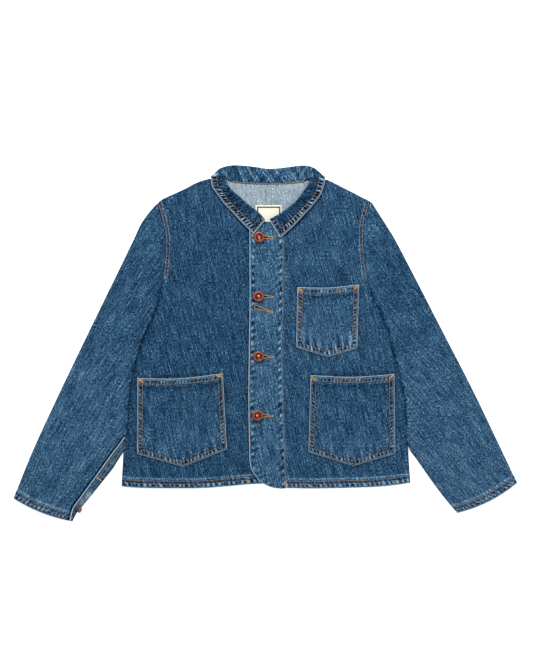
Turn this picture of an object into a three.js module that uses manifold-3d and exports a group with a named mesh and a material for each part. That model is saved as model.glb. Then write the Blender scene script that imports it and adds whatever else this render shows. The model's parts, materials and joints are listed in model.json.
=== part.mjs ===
// A short denim barn coat laid flat, front up, with its sleeves at its sides.
// Millimetres. +X is the wearer's left, +Y runs from hem to collar, +Z is up
// from the surface that the coat lies on, which is Z = 0.
import * as THREE from "three";
import Module from "manifold-3d";
import { mergeVertices } from "three/addons/utils/BufferGeometryUtils.js";

// Cloth and sewing sizes
const CLOTH = 1.2; // one layer of heavy denim
const GAP = 0.3; // between one piece and the next
const BAND = 2 * CLOTH; // the doubled button band
const HEM_RISE = 1; // a turned hem over a single layer
const COLLAR = 2; // both leaves of the collar, sewn together
const ROLL = 1.4; // radius of the collar's roll, at the middle of its wall
const SLEEVE_EDGE = 1.3; // radius of the sleeve's outer edge, at the middle of its wall
const SLEEVE_TURN = 0.95; // radius of the tight fold beside the body
const LABEL = 0.6;
const LABEL_GAP = 0.45; // under the label, over the felled strip

// How the layers rise from the surface
const NECK_LIFT = 2.3; // the back lies on the collar's fall near the neck
const FRONT = 1.7; // underside of a front, over the back
const PUFF = 1.2; // a front stands this much higher away from its seams
const OVERLAP_RISE = 2.7; // the left front climbs onto the right one
const SLEEVE_CROWN = 1.4; // how far the middle of a sleeve's top layer rises

const MIDDLE = { x: 0.25, y: 0.68 }; // middle of the coat's outline in the sizes below
const CENTRE = 5.5; // X of the centre back seam
const FELL = { share: 0.05, rise: 0.4 }; // the felled strip there, as a share of the width of its back
const STEP = 0.004; // share over which a hem or a strip steps up
const DENIM = { color: 0x3a5f88, roughness: 0.9, metalness: 0 };
const DENIM_INSIDE = { color: 0x8fa8bf, roughness: 0.95, metalness: 0 };
const CREAM = { color: 0xe9e4cf, roughness: 0.8, metalness: 0 };
const COPPER = { color: 0xa5522f, roughness: 0.35, metalness: 0.9 };

const points = (...list) => list.map(([x, y]) => new THREE.Vector2(x, y));
const table = (columns, ...rows) =>
  rows.map((row) => Object.fromEntries(columns.split(" ").map((name, i) => [name, row[i]])));
const ease = (t) => THREE.MathUtils.smoothstep(t, 0, 1);
const { clamp, lerp } = THREE.MathUtils;

// Seam lines of the body, each from its upper end down, for the wearer's left and right
const LEFT = {
  side: 1,
  shoulder: points([97, 304], [116, 301], [138, 290.5], [182, 268], [194.5, 261.5]),
  cap: points([194.5, 261.5], [187, 236], [182.2, 211], [182.3, 180], [185.5, 145], [189, 123]),
  underarm: points([189, 123], [195.5, 99], [210, 69.5], [230, 42], [256, 21.5]),
  seam: points([256, 21.5], [260.5, -52], [263.5, -140], [263.8, -195], [267.5, -256]),
  neck: points([96.5, 302], [92, 286.5], [83, 270], [69, 253.5], [51.5, 241], [34.6, 232.6]),
  backNeck: points([97, 304], [81, 300], [57, 295.5], [CENTRE, 293]),
  centre: points([34.6, 232.6], [34.6, 80], [32.4, 0], [34.1, -103], [37.1, -177], [39.6, -265.5]),
  hem: points([39.6, -265.5], [94, -266.5], [193, -264], [237, -260.5], [267.5, -256]),
};
const RIGHT = {
  side: -1,
  shoulder: points([-88, 304], [-105, 303], [-127, 296], [-149, 284.5], [-187, 267], [-198.5, 258]),
  cap: points([-198.5, 258], [-190, 228], [-184.5, 200], [-183.5, 175], [-187, 132], [-191.5, 112]),
  underarm: points([-191.5, 112], [-193.8, 99], [-200.5, 82], [-213.5, 62], [-232, 40], [-254, 21.5]),
  seam: points([-254, 21.5], [-256, -66], [-257.8, -140], [-261, -204], [-264.3, -262.5]),
  neck: points([-87.5, 302], [-83, 286.5], [-57, 261], [-26, 232.5], [-11, 223], [18.5, 216.5]),
  backNeck: points([-88, 304], [-75.5, 300.5], [-46, 295.5], [CENTRE, 293]),
  centre: points([18.5, 216.5], [18.5, -20], [18.5, -257]),
  hem: points([18.5, -257], [-27, -258.5], [-72, -262.5], [-127, -266], [-226, -265.5], [-264.3, -262.5]),
};
const BACK_HEM = { centre: -251, side: -4 }; // height at the centre, and how far it rises to the side

// Sleeves: outer edge and inner edge below the cap, from the shoulder to the cuff
LEFT.outer = points(
  [196, 261], [228, 211], [250, 172.5], [325.8, 25.5], [382.6, -85], [435.6, -195.5], [464.3, -256],
);
LEFT.fold = points(
  [189, 123], [192.3, 111.5], [196.3, 99], [202.3, 84.5], [208.6, 68.5], [228, 21.5], [246.5, -52],
  [258, -100], [261, -140], [263.2, -187], [282.5, -217.5], [322, -273], [354, -311.5],
);
RIGHT.outer = points(
  [-200, 257.5], [-226.5, 224], [-247.5, 180], [-322.8, 25.5], [-376, -85], [-427, -195.5], [-463, -284.5],
);
RIGHT.fold = points(
  [-191.5, 112], [-194.6, 98], [-197.5, 77], [-204, 57], [-228.5, 0.5], [-244, -55.5], [-251.5, -112.5],
  [-253.2, -145], [-256.6, -170], [-282, -205.5], [-310, -244.5], [-338, -283], [-352.5, -304],
  [-358, -326.5],
);

// Down a sleeve: ride is the height of its inner edge, fold is 1 where that edge is folded under,
// seam is how far in from that edge the underarm seam lies, less than 0 where it shows outside it
LEFT.sleeve = table("at ride fold seam",
  [0, 1.7, 0, 0.3], [0.255, 1.7, 0, 0.4], [0.285, 3.5, 0, 1.5], [0.31, 3.5, 0, 4], [0.33, 3.5, 1, 12],
  [0.36, 3.5, 1, 20], [0.4, 3.5, 1, 37], [0.45, 3.5, 1, 38], [0.52, 3.5, 1, 24], [0.6, 3.5, 1, 12],
  [0.735, 3.5, 1, 9.3], [0.785, 0, 1, 9.3], [1, 0, 1, 9.3],
);
RIGHT.sleeve = table("at ride fold seam",
  [0, 1.7, 0, 0.3], [0.217, 1.7, 0, 0.4], [0.234, 3.5, 0, 2], [0.262, 3.5, 0, 9], [0.28, 3.5, 1, 18],
  [0.31, 3.5, 1, 24], [0.365, 3.5, 1, 37], [0.41, 3.5, 1, 43], [0.45, 3.5, 1, 35], [0.5, 3.5, 1, 24],
  [0.56, 3.5, 1, 17], [0.65, 3.5, 1, 13], [0.685, 3.5, 1, 10], [0.697, 3.5, 0, 2.5], [0.703, 3.2, 0, -0.6],
  [0.72, 1.5, 0, -6.5], [0.74, 1.5, 0, -13.6], [0.8, 1.5, 0, -16], [0.9, 1.5, 0, -13],
  [0.95, 1.5, 0, -11.5], [1, 1.5, 0, -3],
);
LEFT.bow = 7; // how far the middle of the cuff curves out
RIGHT.bow = 5;
const CAP_END = 0.215; // share of a sleeve's length that its cap takes
const CAP_FLAT = 0.29; // below the cap the rows lie closer together as far as this share
const BOW_START = 0.6; // the sleeve begins to curve out towards its cuff here
const CUFF_HEM = 0.972; // the cuff's hem begins at this share

// Across a sleeve, from its inner edge
const SETTLE = { past: 9, over: 34 }; // the top layer comes down past the seam's strip, over this width
const CROWN_WIDTH = 80; // a sleeve this wide has its full crown
const SEAM_STEP = { tuck: 8.5, over: 7.5, turn: 6 }; // where the folded end steps down onto the seam
const EDGE_ZONE = 10; // width beside an edge with close points
const OUTER_TURNS = 4; // flats round the outer edge
const INNER_TURNS = 3; // flats round the inner fold

// The collar, station by station, from the wearer's right front end round the back to the left one:
// n is its neck seam, r the middle of its roll, o its outer edge; turn is 0 where the fall lies over
// the stand, 90 where it stands beside it and 180 where it lies under it
const COLLAR_STATIONS = table("nx ny nz rx ry rz ox oy oz turn",
  [-9.5, 228, 3.9, -0.5, 226, 8.5, -21, 202, 10.2, 0],
  [-25, 236, 4.2, -15, 241.5, 7.4, -40, 220.5, 8.9, 0],
  [-40.5, 251.5, 4.4, -31.5, 254, 7, -59.5, 241.5, 6.3, 0],
  [-56, 265.5, 5, -46.5, 267.5, 7.4, -73.5, 256, 6.7, 0],
  [-70, 278.5, 5.6, -60.5, 279.5, 8, -87, 273.5, 7.4, 0],
  [-78.5, 289, 5.8, -71.5, 293.5, 8.6, -97, 288.5, 7.4, 12],
  [-80.5, 297, 5.2, -74, 304, 7.5, -99, 300.5, 7.4, 40],
  [-77, 303.8, 4.5, -84, 316.5, 5.4, -99.6, 307, 4, 90],
  [-69, 303, 3.8, -78, 323.2, 3, -93, 307.5, 1.3, 140],
  [-60, 298.3, 3.5, -62, 326.3, 2.6, -75, 294, 1.1, 170],
  [-45, 295.9, 3.5, -42, 326, 2.5, -50, 285, 1.1, 180],
  [-20, 294.3, 3.5, -19, 323.5, 2.5, -20, 282.5, 1.1, 180],
  [5.5, 293.5, 3.5, 5.5, 320, 2.5, 5.5, 281, 1.1, 180],
  [32, 294.5, 3.5, 31, 321.5, 2.5, 33, 282.5, 1.1, 180],
  [57, 296.2, 3.5, 58, 325, 2.5, 63, 285, 1.1, 180],
  [70, 298.6, 3.5, 76, 325.8, 2.6, 88, 294, 1.1, 170],
  [79, 303.4, 3.8, 88.5, 322.5, 3, 103, 307, 1.3, 140],
  [85, 304, 4.5, 95, 315.5, 5.4, 110, 306.5, 4, 90],
  [88.5, 297, 5.2, 86, 303, 7.5, 110.3, 299.5, 7.4, 40],
  [86.5, 286.5, 5.8, 80.5, 290.5, 8.6, 107.5, 287.5, 7.4, 12],
  [78, 270.5, 5.6, 69, 275, 8, 101, 272, 7.4, 0],
  [66.5, 255.5, 5.4, 58, 260.5, 8, 87.5, 254.5, 6.9, 0],
  [51, 243.5, 6.4, 42, 247, 9.2, 69, 234, 8.5, 0],
  [35, 234.5, 6.9, 26, 236, 10, 48.5, 213, 9.7, 0],
  [21, 231.5, 6.9, 8.5, 226.5, 10.4, 27.5, 194.5, 9.8, 0],
);

const ROLL_TURNS = 4; // flats round the roll
const BETWEEN_STATIONS = 2; // steps from one station to the next

// Pockets: corners of each, with a point at the bottom, and how far the top edge dips in its middle
const POCKET_TOP = 12; // depth of a pocket's turned top
const POCKETS = table("name side dip tl tr br point bl",
  ["pocket_chest", LEFT, 3.3, [59.5, 104], [173.5, 109], [169.5, -7.5], [116.5, -24.3], [57.5, -6.5]],
  ["pocket_lower_left", LEFT, 4.2, [84, -58], [238, -55.8], [240, -202], [162.5, -225], [80, -199.3]],
  ["pocket_lower_right", RIGHT, 4.8,
    [-235, -63.5], [-77.8, -54.5], [-70, -194.3], [-151, -226.3], [-235.5, -202.5]],
);

// Buttons on the right front, through the keyholes of the left band, and one spare keyhole
const BUTTONS = table("x y", [-10.5, 196], [-12, 87], [-11.5, -23.5], [-13.5, -132]);
const KEYHOLE = { eye: 2.6, slit: 1, end: 15.5, drop: 0.8, sides: 8 };
const SPARE_KEYHOLE = { x: -16.2, y: 67.5, endX: 14.7, endY: 57.5 };
const BUTTON = { radius: 10, shank: 1.7, sides: 14 };
const CUFF_BUTTON = { radius: 5.8, x: -344.6, y: -304.4, z: 3.75, lean: 68, heading: -18, foot: 3.2 };

const LABEL_AT = { left: -17.5, right: 31, low: 222, high: 255.3 };

// A line of one or more curves, each up to a share of the whole, read by that share
function edge(...stretches) {
  let from = 0;
  const parts = stretches.map(([list, until]) => {
    const part = { curve: new THREE.SplineCurve(list), from, until };
    from = until;
    return part;
  });
  return (share) => {
    const part = parts.find(({ until }) => share <= until) ?? parts.at(-1);
    return part.curve.getPointAt(clamp((share - part.from) / (part.until - part.from), 0, 1));
  };
}

// Shares from the first knot to the last, with so many even steps between each two
function ladder(knots, steps) {
  const shares = [knots[0]];
  steps.forEach((count, i) => {
    for (let k = 1; k <= count; k += 1) shares.push(lerp(knots[i], knots[i + 1], k / count));
  });
  return shares;
}

// A grid of points between four edges: inner and outer run up, bottom and top run outward
function patch({ inner, outer, bottom, top }, across, up) {
  return up.map((v) =>
    across.map((u) => {
      const point = new THREE.Vector2();
      point.addScaledVector(inner(v), 1 - u).addScaledVector(outer(v), u);
      point.addScaledVector(bottom(u), 1 - v).addScaledVector(top(u), v);
      point.addScaledVector(inner(0), -(1 - u) * (1 - v)).addScaledVector(outer(0), -u * (1 - v));
      point.addScaledVector(inner(1), -(1 - u) * v).addScaledVector(outer(1), -u * v);
      return { x: point.x, y: point.y, u, v };
    }),
  );
}

// The closed wall between two grids of points that match
function wall(lower, upper) {
  const rows = lower.length;
  const columns = lower[0].length;
  const position = [...lower.flat(), ...upper.flat()].flatMap(({ x, y, z }) => [x, y, z]);
  const low = (i, j) => i * columns + j;
  const high = (i, j) => rows * columns + i * columns + j;
  const index = [];
  const quad = (a, b, c, d) => index.push(a, b, c, a, c, d);
  for (let i = 0; i + 1 < rows; i += 1) {
    for (let j = 0; j + 1 < columns; j += 1) {
      quad(high(i, j), high(i, j + 1), high(i + 1, j + 1), high(i + 1, j));
      quad(low(i, j), low(i + 1, j), low(i + 1, j + 1), low(i, j + 1));
    }
    quad(low(i, 0), high(i, 0), high(i + 1, 0), low(i + 1, 0));
    quad(low(i, columns - 1), low(i + 1, columns - 1), high(i + 1, columns - 1), high(i, columns - 1));
  }
  for (let j = 0; j + 1 < columns; j += 1) {
    quad(low(0, j), low(0, j + 1), high(0, j + 1), high(0, j));
    quad(low(rows - 1, j), high(rows - 1, j), high(rows - 1, j + 1), low(rows - 1, j + 1));
  }
  return facingOut(position, index);
}

// The geometry of a closed mesh, turned round if its faces point in
function facingOut(position, index) {
  const corner = (i) => new THREE.Vector3().fromArray(position, 3 * index[i]);
  let volume = 0;
  for (let i = 0; i < index.length; i += 3) volume += corner(i).dot(corner(i + 1).cross(corner(i + 2)));
  if (volume < 0) index.reverse();
  const geometry = new THREE.BufferGeometry();
  geometry.setAttribute("position", new THREE.Float32BufferAttribute(position, 3));
  geometry.setIndex(index);
  return geometry;
}

// A panel lying on its grid, with its underside and thickness worked out at each point
function panel(grid, under, thickness) {
  const lift = (height) => grid.map((row) => row.map((p) => ({ x: p.x, y: p.y, z: height(p) })));
  return wall(lift(under), lift((p) => under(p) + thickness(p)));
}

// How far a point is from a line of seams
function distance(lines, { x, y }) {
  const here = new THREE.Vector3(x, y, 0);
  const near = new THREE.Vector3();
  const spans = lines.flatMap((line) => line.slice(1).map((to, i) => [line[i], to]));
  return Math.min(...spans.map(([a, b]) => {
    const span = new THREE.Line3(new THREE.Vector3(a.x, a.y, 0), new THREE.Vector3(b.x, b.y, 0));
    return span.closestPointToPoint(here, true, near).distanceTo(here);
  }));
}

// Where each height begins to change, and over what distance
const NECK_ZONE = { y: 245, over: 32, halfWidth: 148, fade: 42 };
const PUFF_ZONE = { from: 20, over: 40 };
const OVERLAP_ZONE = { x: 32, over: 34 };

// Heights of the layers at any place
const neckLift = ({ x, y }) => {
  const inside = (NECK_ZONE.halfWidth - Math.abs(x - CENTRE)) / NECK_ZONE.fade;
  return NECK_LIFT * ease((y - NECK_ZONE.y) / NECK_ZONE.over) * ease(inside);
};
const puff = (side, p) => {
  const away = distance([side.shoulder, side.cap, side.underarm, side.seam], p);
  return PUFF * ease((away - PUFF_ZONE.from) / PUFF_ZONE.over);
};
const overlapRise = (side, { x }) =>
  side === LEFT ? OVERLAP_RISE * (1 - ease((x - OVERLAP_ZONE.x) / OVERLAP_ZONE.over)) : 0;
const frontUnder = (side, p) => neckLift(p) + FRONT + puff(side, p) + overlapRise(side, p);
const bandUnder = (p) => neckLift(p) + FRONT + PUFF + BAND + GAP;

// Shares up the body: hem, side seam, underarm and the rows that the sleeve's cap shares
const BODY_HEM = 0.035;
const SEAM_END = 0.5;
const UNDERARM_END = 0.62;
const FIRST_CAP_SHARE = 0.056;
const CAP_SHARES = [0, ...ladder([FIRST_CAP_SHARE, 1], [7])];
const NECK_START = lerp(1, UNDERARM_END, CAP_SHARES[4]);
const bodyRows = (seamSteps) => [
  ...ladder([0, BODY_HEM, BODY_HEM + STEP, SEAM_END, UNDERARM_END], [1, 1, seamSteps, 4]),
  ...CAP_SHARES.slice(0, -1).reverse().map((share) => lerp(1, UNDERARM_END, share)),
];
const upward = (line) => [...line].reverse();
const outerEdge = (side) =>
  edge([upward(side.seam), SEAM_END], [upward(side.underarm), UNDERARM_END], [upward(side.cap), 1]);

const BACK_NECK_SHARE = 0.48; // of a back's top edge, the rest is its shoulder

function back(side) {
  const start = CENTRE + (side.side * GAP) / 2;
  const corner = side.seam.at(-1);
  const inner = edge([points([start, BACK_HEM.centre], [start, side.backNeck.at(-1).y]), 1]);
  const neck = [...upward(side.backNeck).map(({ x, y }, i) => new THREE.Vector2(i ? x : start, y))];
  const hem = points(
    [start, BACK_HEM.centre],
    [corner.x / 2, BACK_HEM.centre + BACK_HEM.side],
    [corner.x, corner.y],
  );
  const top = edge([neck, BACK_NECK_SHARE], [side.shoulder, 1]);
  const grid = patch(
    { inner, outer: outerEdge(side), bottom: edge([hem, 1]), top },
    ladder([0, FELL.share, FELL.share + STEP, BACK_NECK_SHARE, 1], [1, 1, 5, 6]),
    bodyRows(4),
  );
  const felled = ({ u }) => (side === LEFT && u <= FELL.share ? FELL.rise : 0);
  return panel(grid, neckLift, (p) => CLOTH + felled(p));
}

function front(side, across, extra) {
  const grid = patch(
    {
      inner: edge([upward(side.centre), NECK_START], [upward(side.neck), 1]),
      outer: outerEdge(side),
      bottom: edge([side.hem, 1]),
      top: edge([side.shoulder, 1]),
    },
    across,
    bodyRows(8),
  );
  const hem = ({ v }) => (v <= BODY_HEM ? HEM_RISE : 0);
  return panel(grid, (p) => frontUnder(side, p), (p) => CLOTH + Math.max(hem(p), extra(p)));
}

// The right front is doubled where the band lies over it
const FACING_SHARE = 0.16;
const OVERLAP_SHARE = 0.2; // of the left front's width, where it climbs onto the right one
function frontRight() {
  const doubled = ({ u, v }) => (u <= FACING_SHARE && v < NECK_START ? CLOTH : 0);
  return front(RIGHT, ladder([0, FACING_SHARE, FACING_SHARE + STEP, 1], [2, 1, 12]), doubled);
}
const frontLeft = () => front(LEFT, ladder([0, OVERLAP_SHARE, 1], [4, 10]), () => 0);

// The left front's doubled button band, with a rounded lower corner and its keyholes
const BAND_SEAM = points([39.2, -265.7], [36.8, -177], [33.8, -103], [32.1, 0], [34.3, 80], [34.3, 232.4]);
const BAND_CORNER = points(
  [28.5, -266.4], [10, -263.3], [-8, -253.6], [-18, -242], [-25.5, -230], [-28.5, -214],
);
const BAND_EDGE = points([-28.5, -214], [-30.3, -103], [-29.3, 0], [-28, 80], [-28.5, 213]);
const BAND_NECK = points([34.3, 232.4], [2, 221.5], [-28.5, 213]);
const CORNER_SHARE = 0.12; // of the band's length
function band(solids) {
  const grid = patch(
    {
      inner: edge([BAND_SEAM, 1]),
      outer: edge([BAND_CORNER, CORNER_SHARE], [BAND_EDGE, 1]),
      bottom: edge([[BAND_SEAM[0], BAND_CORNER[0]], 1]),
      top: edge([BAND_NECK, 1]),
    },
    ladder([0, 1], [4]),
    ladder([0, CORNER_SHARE, 1], [6, 16]),
  );
  const strip = solids.solid(panel(grid, bandUnder, () => BAND));
  const holes = [
    ...BUTTONS.map(({ x, y }) => keyhole(x, y, KEYHOLE.end, y - KEYHOLE.drop)),
    keyhole(SPARE_KEYHOLE.x, SPARE_KEYHOLE.y, SPARE_KEYHOLE.endX, SPARE_KEYHOLE.endY),
  ];
  return solids.geometry(holes.reduce((rest, hole) => rest.subtract(solids.solid(hole)), strip));
}

// A keyhole's cutter: a round eye at one end of a slit
function keyhole(x, y, endX, endY) {
  const along = Math.atan2(endY - y, endX - x);
  const meet = Math.asin(KEYHOLE.slit / 2 / KEYHOLE.eye);
  const length = Math.hypot(endX - x, endY - y);
  const shape = new THREE.Shape();
  shape.absarc(0, 0, KEYHOLE.eye, meet, 2 * Math.PI - meet);
  shape.lineTo(length, -KEYHOLE.slit / 2).lineTo(length, KEYHOLE.slit / 2).closePath();
  const deep = 3 * BAND;
  const settings = { depth: deep, bevelEnabled: false, curveSegments: KEYHOLE.sides };
  const cutter = new THREE.ExtrudeGeometry(shape, settings);
  return cutter.rotateZ(along).translate(x, y, bandUnder({ x, y }) - deep / 3);
}

// A pocket lies on its front's points, moved out
function pocket({ side, tl, tr, br, point, bl, dip }) {
  const middle = (point[0] - bl[0]) / (br[0] - bl[0]);
  const turnedFrom = 1 - POCKET_TOP / (tl[1] - bl[1]);
  const topMiddle = [(tl[0] + tr[0]) / 2, (tl[1] + tr[1]) / 2 - dip];
  const grid = patch(
    {
      inner: edge([points(bl, tl), 1]),
      outer: edge([points(br, tr), 1]),
      bottom: edge([points(bl, point), middle], [points(point, br), 1]),
      top: edge([points(tl, topMiddle, tr), 1]),
    },
    ladder([0, middle, 1], [4, 4]),
    ladder([0, turnedFrom - STEP, turnedFrom, 1], [7, 1, 1]),
  );
  const turned = ({ v }) => (v > turnedFrom - STEP / 2 ? HEM_RISE : 0);
  return panel(grid, (p) => frontUnder(side, p) + CLOTH + GAP, (p) => CLOTH + turned(p));
}

// One row of a sleeve's table at any share of its length
function sleeveRow(rows, at) {
  const next = Math.max(1, rows.findIndex((row) => row.at >= at));
  const [a, b] = [rows[next - 1], rows[next]];
  const t = clamp((at - a.at) / (b.at - a.at), 0, 1);
  const between = (name) => lerp(a[name], b[name], t);
  return { ride: between("ride"), fold: Math.round(between("fold")), seam: between("seam") };
}

// The middle of a sleeve's wall across one row, as distance from the inner edge and height:
// from the underarm seam out along the lower layer, round the outer edge, back along the top
// layer, and, where it is folded, round the inner edge and under to the seam again
function sleeveSection({ ride, fold, seam }, width) {
  const half = CLOTH / 2;
  const edgeAt = width - half - SLEEVE_EDGE;
  const top = half + 2 * SLEEVE_EDGE;
  const innerTop = ride + half + 2 * SLEEVE_TURN * fold;
  const turnAt = half + SLEEVE_TURN;
  const start = fold ? turnAt : GAP;
  const endZone = fold ? turnAt : Math.min(EDGE_ZONE, edgeAt / 2);
  const settle = Math.max(0, seam - SETTLE.past);
  const crown = SLEEVE_CROWN * ease(width / CROWN_WIDTH);
  const height = (s) => {
    const middle = Math.sin((Math.PI * (s - start)) / (edgeAt - start)) ** 2;
    return lerp(innerTop, top, ease((s - settle) / SETTLE.over)) + crown * middle;
  };
  const path = ladder([seam, edgeAt], [3]).map((s) => [s, half]);
  for (let k = 1; k < OUTER_TURNS; k += 1) {
    const angle = (k / OUTER_TURNS) * Math.PI;
    path.push([edgeAt + SLEEVE_EDGE * Math.sin(angle), half + SLEEVE_EDGE * (1 - Math.cos(angle))]);
  }
  for (const s of ladder([edgeAt, endZone], [6])) path.push([s, s === edgeAt ? top : height(s)]);
  if (fold) {
    for (let k = 1; k <= INNER_TURNS; k += 1) {
      const angle = (k / INNER_TURNS) * Math.PI;
      path.push([turnAt - SLEEVE_TURN * Math.sin(angle), innerTop - SLEEVE_TURN * (1 - Math.cos(angle))]);
    }
    const end = seam - GAP;
    const stepAt = end - SEAM_STEP.tuck;
    const knots = [turnAt, Math.max(stepAt, turnAt + 1), Math.max(end, turnAt + SEAM_STEP.turn)];
    for (const s of ladder(knots, [1, 3]).slice(1)) {
      path.push([s, half + ride * (1 - ease((s - stepAt) / SEAM_STEP.over))]);
    }
  } else {
    for (const s of ladder([endZone, start], [7]).slice(1)) path.push([s, height(s)]);
  }
  return path;
}

function sleeve(side) {
  const inner = edge([side.cap, CAP_END], [side.fold, 1]);
  const outer = edge([side.outer, 1]);
  const rows = [
    ...CAP_SHARES.slice(1).map((share) => share * CAP_END),
    ...ladder([CAP_END, CAP_FLAT, CUFF_HEM - STEP, CUFF_HEM, 1], [4, 15, 1, 1]).slice(1),
  ];
  const faces = rows.map((at) => {
    const from = inner(at);
    const across = outer(at).sub(from);
    const width = across.length();
    across.normalize();
    const down = new THREE.Vector2(side.side * across.y, -side.side * across.x);
    const section = sleeveSection(sleeveRow(side.sleeve, at), width);
    const bow = side.bow * ease((at - BOW_START) / (1 - BOW_START));
    const place = ([s, z]) => {
      const t = clamp(s / width, 0, 1);
      const out = 4 * bow * t * (1 - t);
      return { x: from.x + across.x * s + down.x * out, y: from.y + across.y * s + down.y * out, z };
    };
    return offset(section, at >= CUFF_HEM ? HEM_RISE : 0).map((pair) => pair.map(place));
  });
  return pairedWall(faces);
}

// The closed wall of a grid whose every entry is a pair of points, one on each face
const pairedWall = (faces) => wall(...[0, 1].map((k) => faces.map((row) => row.map((pair) => pair[k]))));

// Both faces of a wall whose middle follows a path, with its top layer thicker by a hem
function offset(path, hem) {
  const half = CLOTH / 2;
  return path.map(([s, z], i) => {
    const [before, after] = [path[Math.max(i - 1, 0)], path[Math.min(i + 1, path.length - 1)]];
    const length = Math.hypot(after[0] - before[0], after[1] - before[1]);
    const [ns, nz] = [(after[1] - before[1]) / length, -(after[0] - before[0]) / length];
    const outside = half + (z > 2 * CLOTH ? hem * Math.max(0, nz) : 0);
    return [[s - ns * half, z - nz * half], [s + ns * outside, z + nz * outside]];
  });
}

// The collar: a wall that follows each station from its neck seam round its roll to its edge
function collar() {
  const names = Object.keys(COLLAR_STATIONS[0]);
  const last = COLLAR_STATIONS.length - 1;
  const stations = ladder([0, last], [BETWEEN_STATIONS * last]).map((at) => {
    const i = Math.min(Math.floor(at), last - 1);
    const near = [i - 1, i, i + 1, i + 2].map((k) => COLLAR_STATIONS[clamp(k, 0, last)]);
    const value = (name) => smooth(at - i, ...near.map((row) => row[name]));
    return Object.fromEntries(names.map((name) => [name, value(name)]));
  });
  const middle = stations.map(collarSection);
  const step = (list, i) => [list[Math.min(i + 1, list.length - 1)], list[Math.max(i - 1, 0)]];
  const faces = middle.map((row, i) => row.map((p, j) => {
    const [nextRow, lastRow] = step(middle, i);
    const along = new THREE.Vector3().subVectors(nextRow[j], lastRow[j]);
    const across = new THREE.Vector3().subVectors(...step(row, j));
    const out = along.cross(across).setLength(COLLAR / 2);
    return [p.clone().sub(out), p.clone().add(out)];
  }));
  return pairedWall(faces);
}

// A smooth value between b and c, the middle two of four even stations
function smooth(t, a, b, c, d) {
  const [slopeB, slopeC] = [(c - a) / 2, (d - b) / 2];
  const cubic = 2 * (b - c) + slopeB + slopeC;
  const square = 3 * (c - b) - 2 * slopeB - slopeC;
  return cubic * t ** 3 + square * t ** 2 + slopeB * t + b;
}

// A station's path from its neck seam up the stand, round the roll and down the fall to its edge
function collarSection({ nx, ny, nz, rx, ry, rz, ox, oy, oz, turn }) {
  const neck = new THREE.Vector3(nx, ny, nz);
  const roll = new THREE.Vector3(rx, ry, rz);
  const edgeOut = new THREE.Vector3(ox, oy, oz);
  const away = new THREE.Vector3(rx - ox, ry - oy, 0).normalize();
  const side = rx < CENTRE ? 1 : -1;
  const beside = new THREE.Vector3(side * away.y, -side * away.x, 0);
  const angle = THREE.MathUtils.degToRad(turn);
  const stand = beside.multiplyScalar(Math.sin(angle)).add(new THREE.Vector3(0, 0, -Math.cos(angle)));
  const onRoll = (phi) =>
    roll.clone().addScaledVector(stand, ROLL * Math.cos(phi)).addScaledVector(away, ROLL * Math.sin(phi));
  const path = ladder([0, 1], [2]).slice(0, -1).map((t) => neck.clone().lerp(onRoll(0), t));
  for (let k = 0; k <= ROLL_TURNS; k += 1) path.push(onRoll((k / ROLL_TURNS) * Math.PI));
  return [...path, ...ladder([0, 1], [3]).slice(1).map((t) => onRoll(Math.PI).lerp(edgeOut, t))];
}

function label() {
  const { left, right, low, high } = LABEL_AT;
  const grid = ladder([low, high], [6]).map((y) => ladder([left, right], [2]).map((x) => ({ x, y })));
  return panel(grid, (p) => neckLift(p) + CLOTH + FELL.rise + LABEL_GAP, () => LABEL);
}

// The head of a button, as shares of its radius and heights over the foot of its head
const BUTTON_HEAD = table("share rise",
  [0.92, 0.1], [1, 0.9], [1, 1.9], [0.86, 2.7], [0.55, 2.8], [0.45, 1.9], [0.3, 1.8], [0, 2.5],
);

// A button turned about Z, from the foot of its shank to a head with a ring and a raised middle
function button(radius, foot) {
  const shank = points([0, 0], [BUTTON.shank, 0], [BUTTON.shank, foot]);
  const head = BUTTON_HEAD.map(({ share, rise }) => new THREE.Vector2(share * radius, foot + rise));
  return new THREE.LatheGeometry([...shank, ...head], BUTTON.sides).rotateX(Math.PI / 2);
}

// Cuts of closed meshes
async function makeSolids() {
  const wasm = await Module();
  wasm.setup();
  const solid = (geometry) => {
    const bare = new THREE.BufferGeometry();
    const loose = geometry.index ? geometry.toNonIndexed() : geometry;
    bare.setAttribute("position", loose.getAttribute("position"));
    const merged = mergeVertices(bare, 1e-4);
    const vertProperties = merged.attributes.position.array;
    const triVerts = new Uint32Array(merged.index.array);
    return new wasm.Manifold(new wasm.Mesh({ numProp: 3, vertProperties, triVerts }));
  };
  const geometry = (made) => {
    const { vertProperties, triVerts } = made.getMesh();
    return facingOut([...vertProperties], [...triVerts]);
  };
  return { solid, geometry };
}

const solids = await makeSolids();
const coat = new THREE.Group();
coat.position.set(-MIDDLE.x, -MIDDLE.y, 0);
function add(name, geometry, look) {
  const mesh = new THREE.Mesh(geometry, new THREE.MeshStandardMaterial(look));
  mesh.name = name;
  coat.add(mesh);
  return mesh;
}

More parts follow.
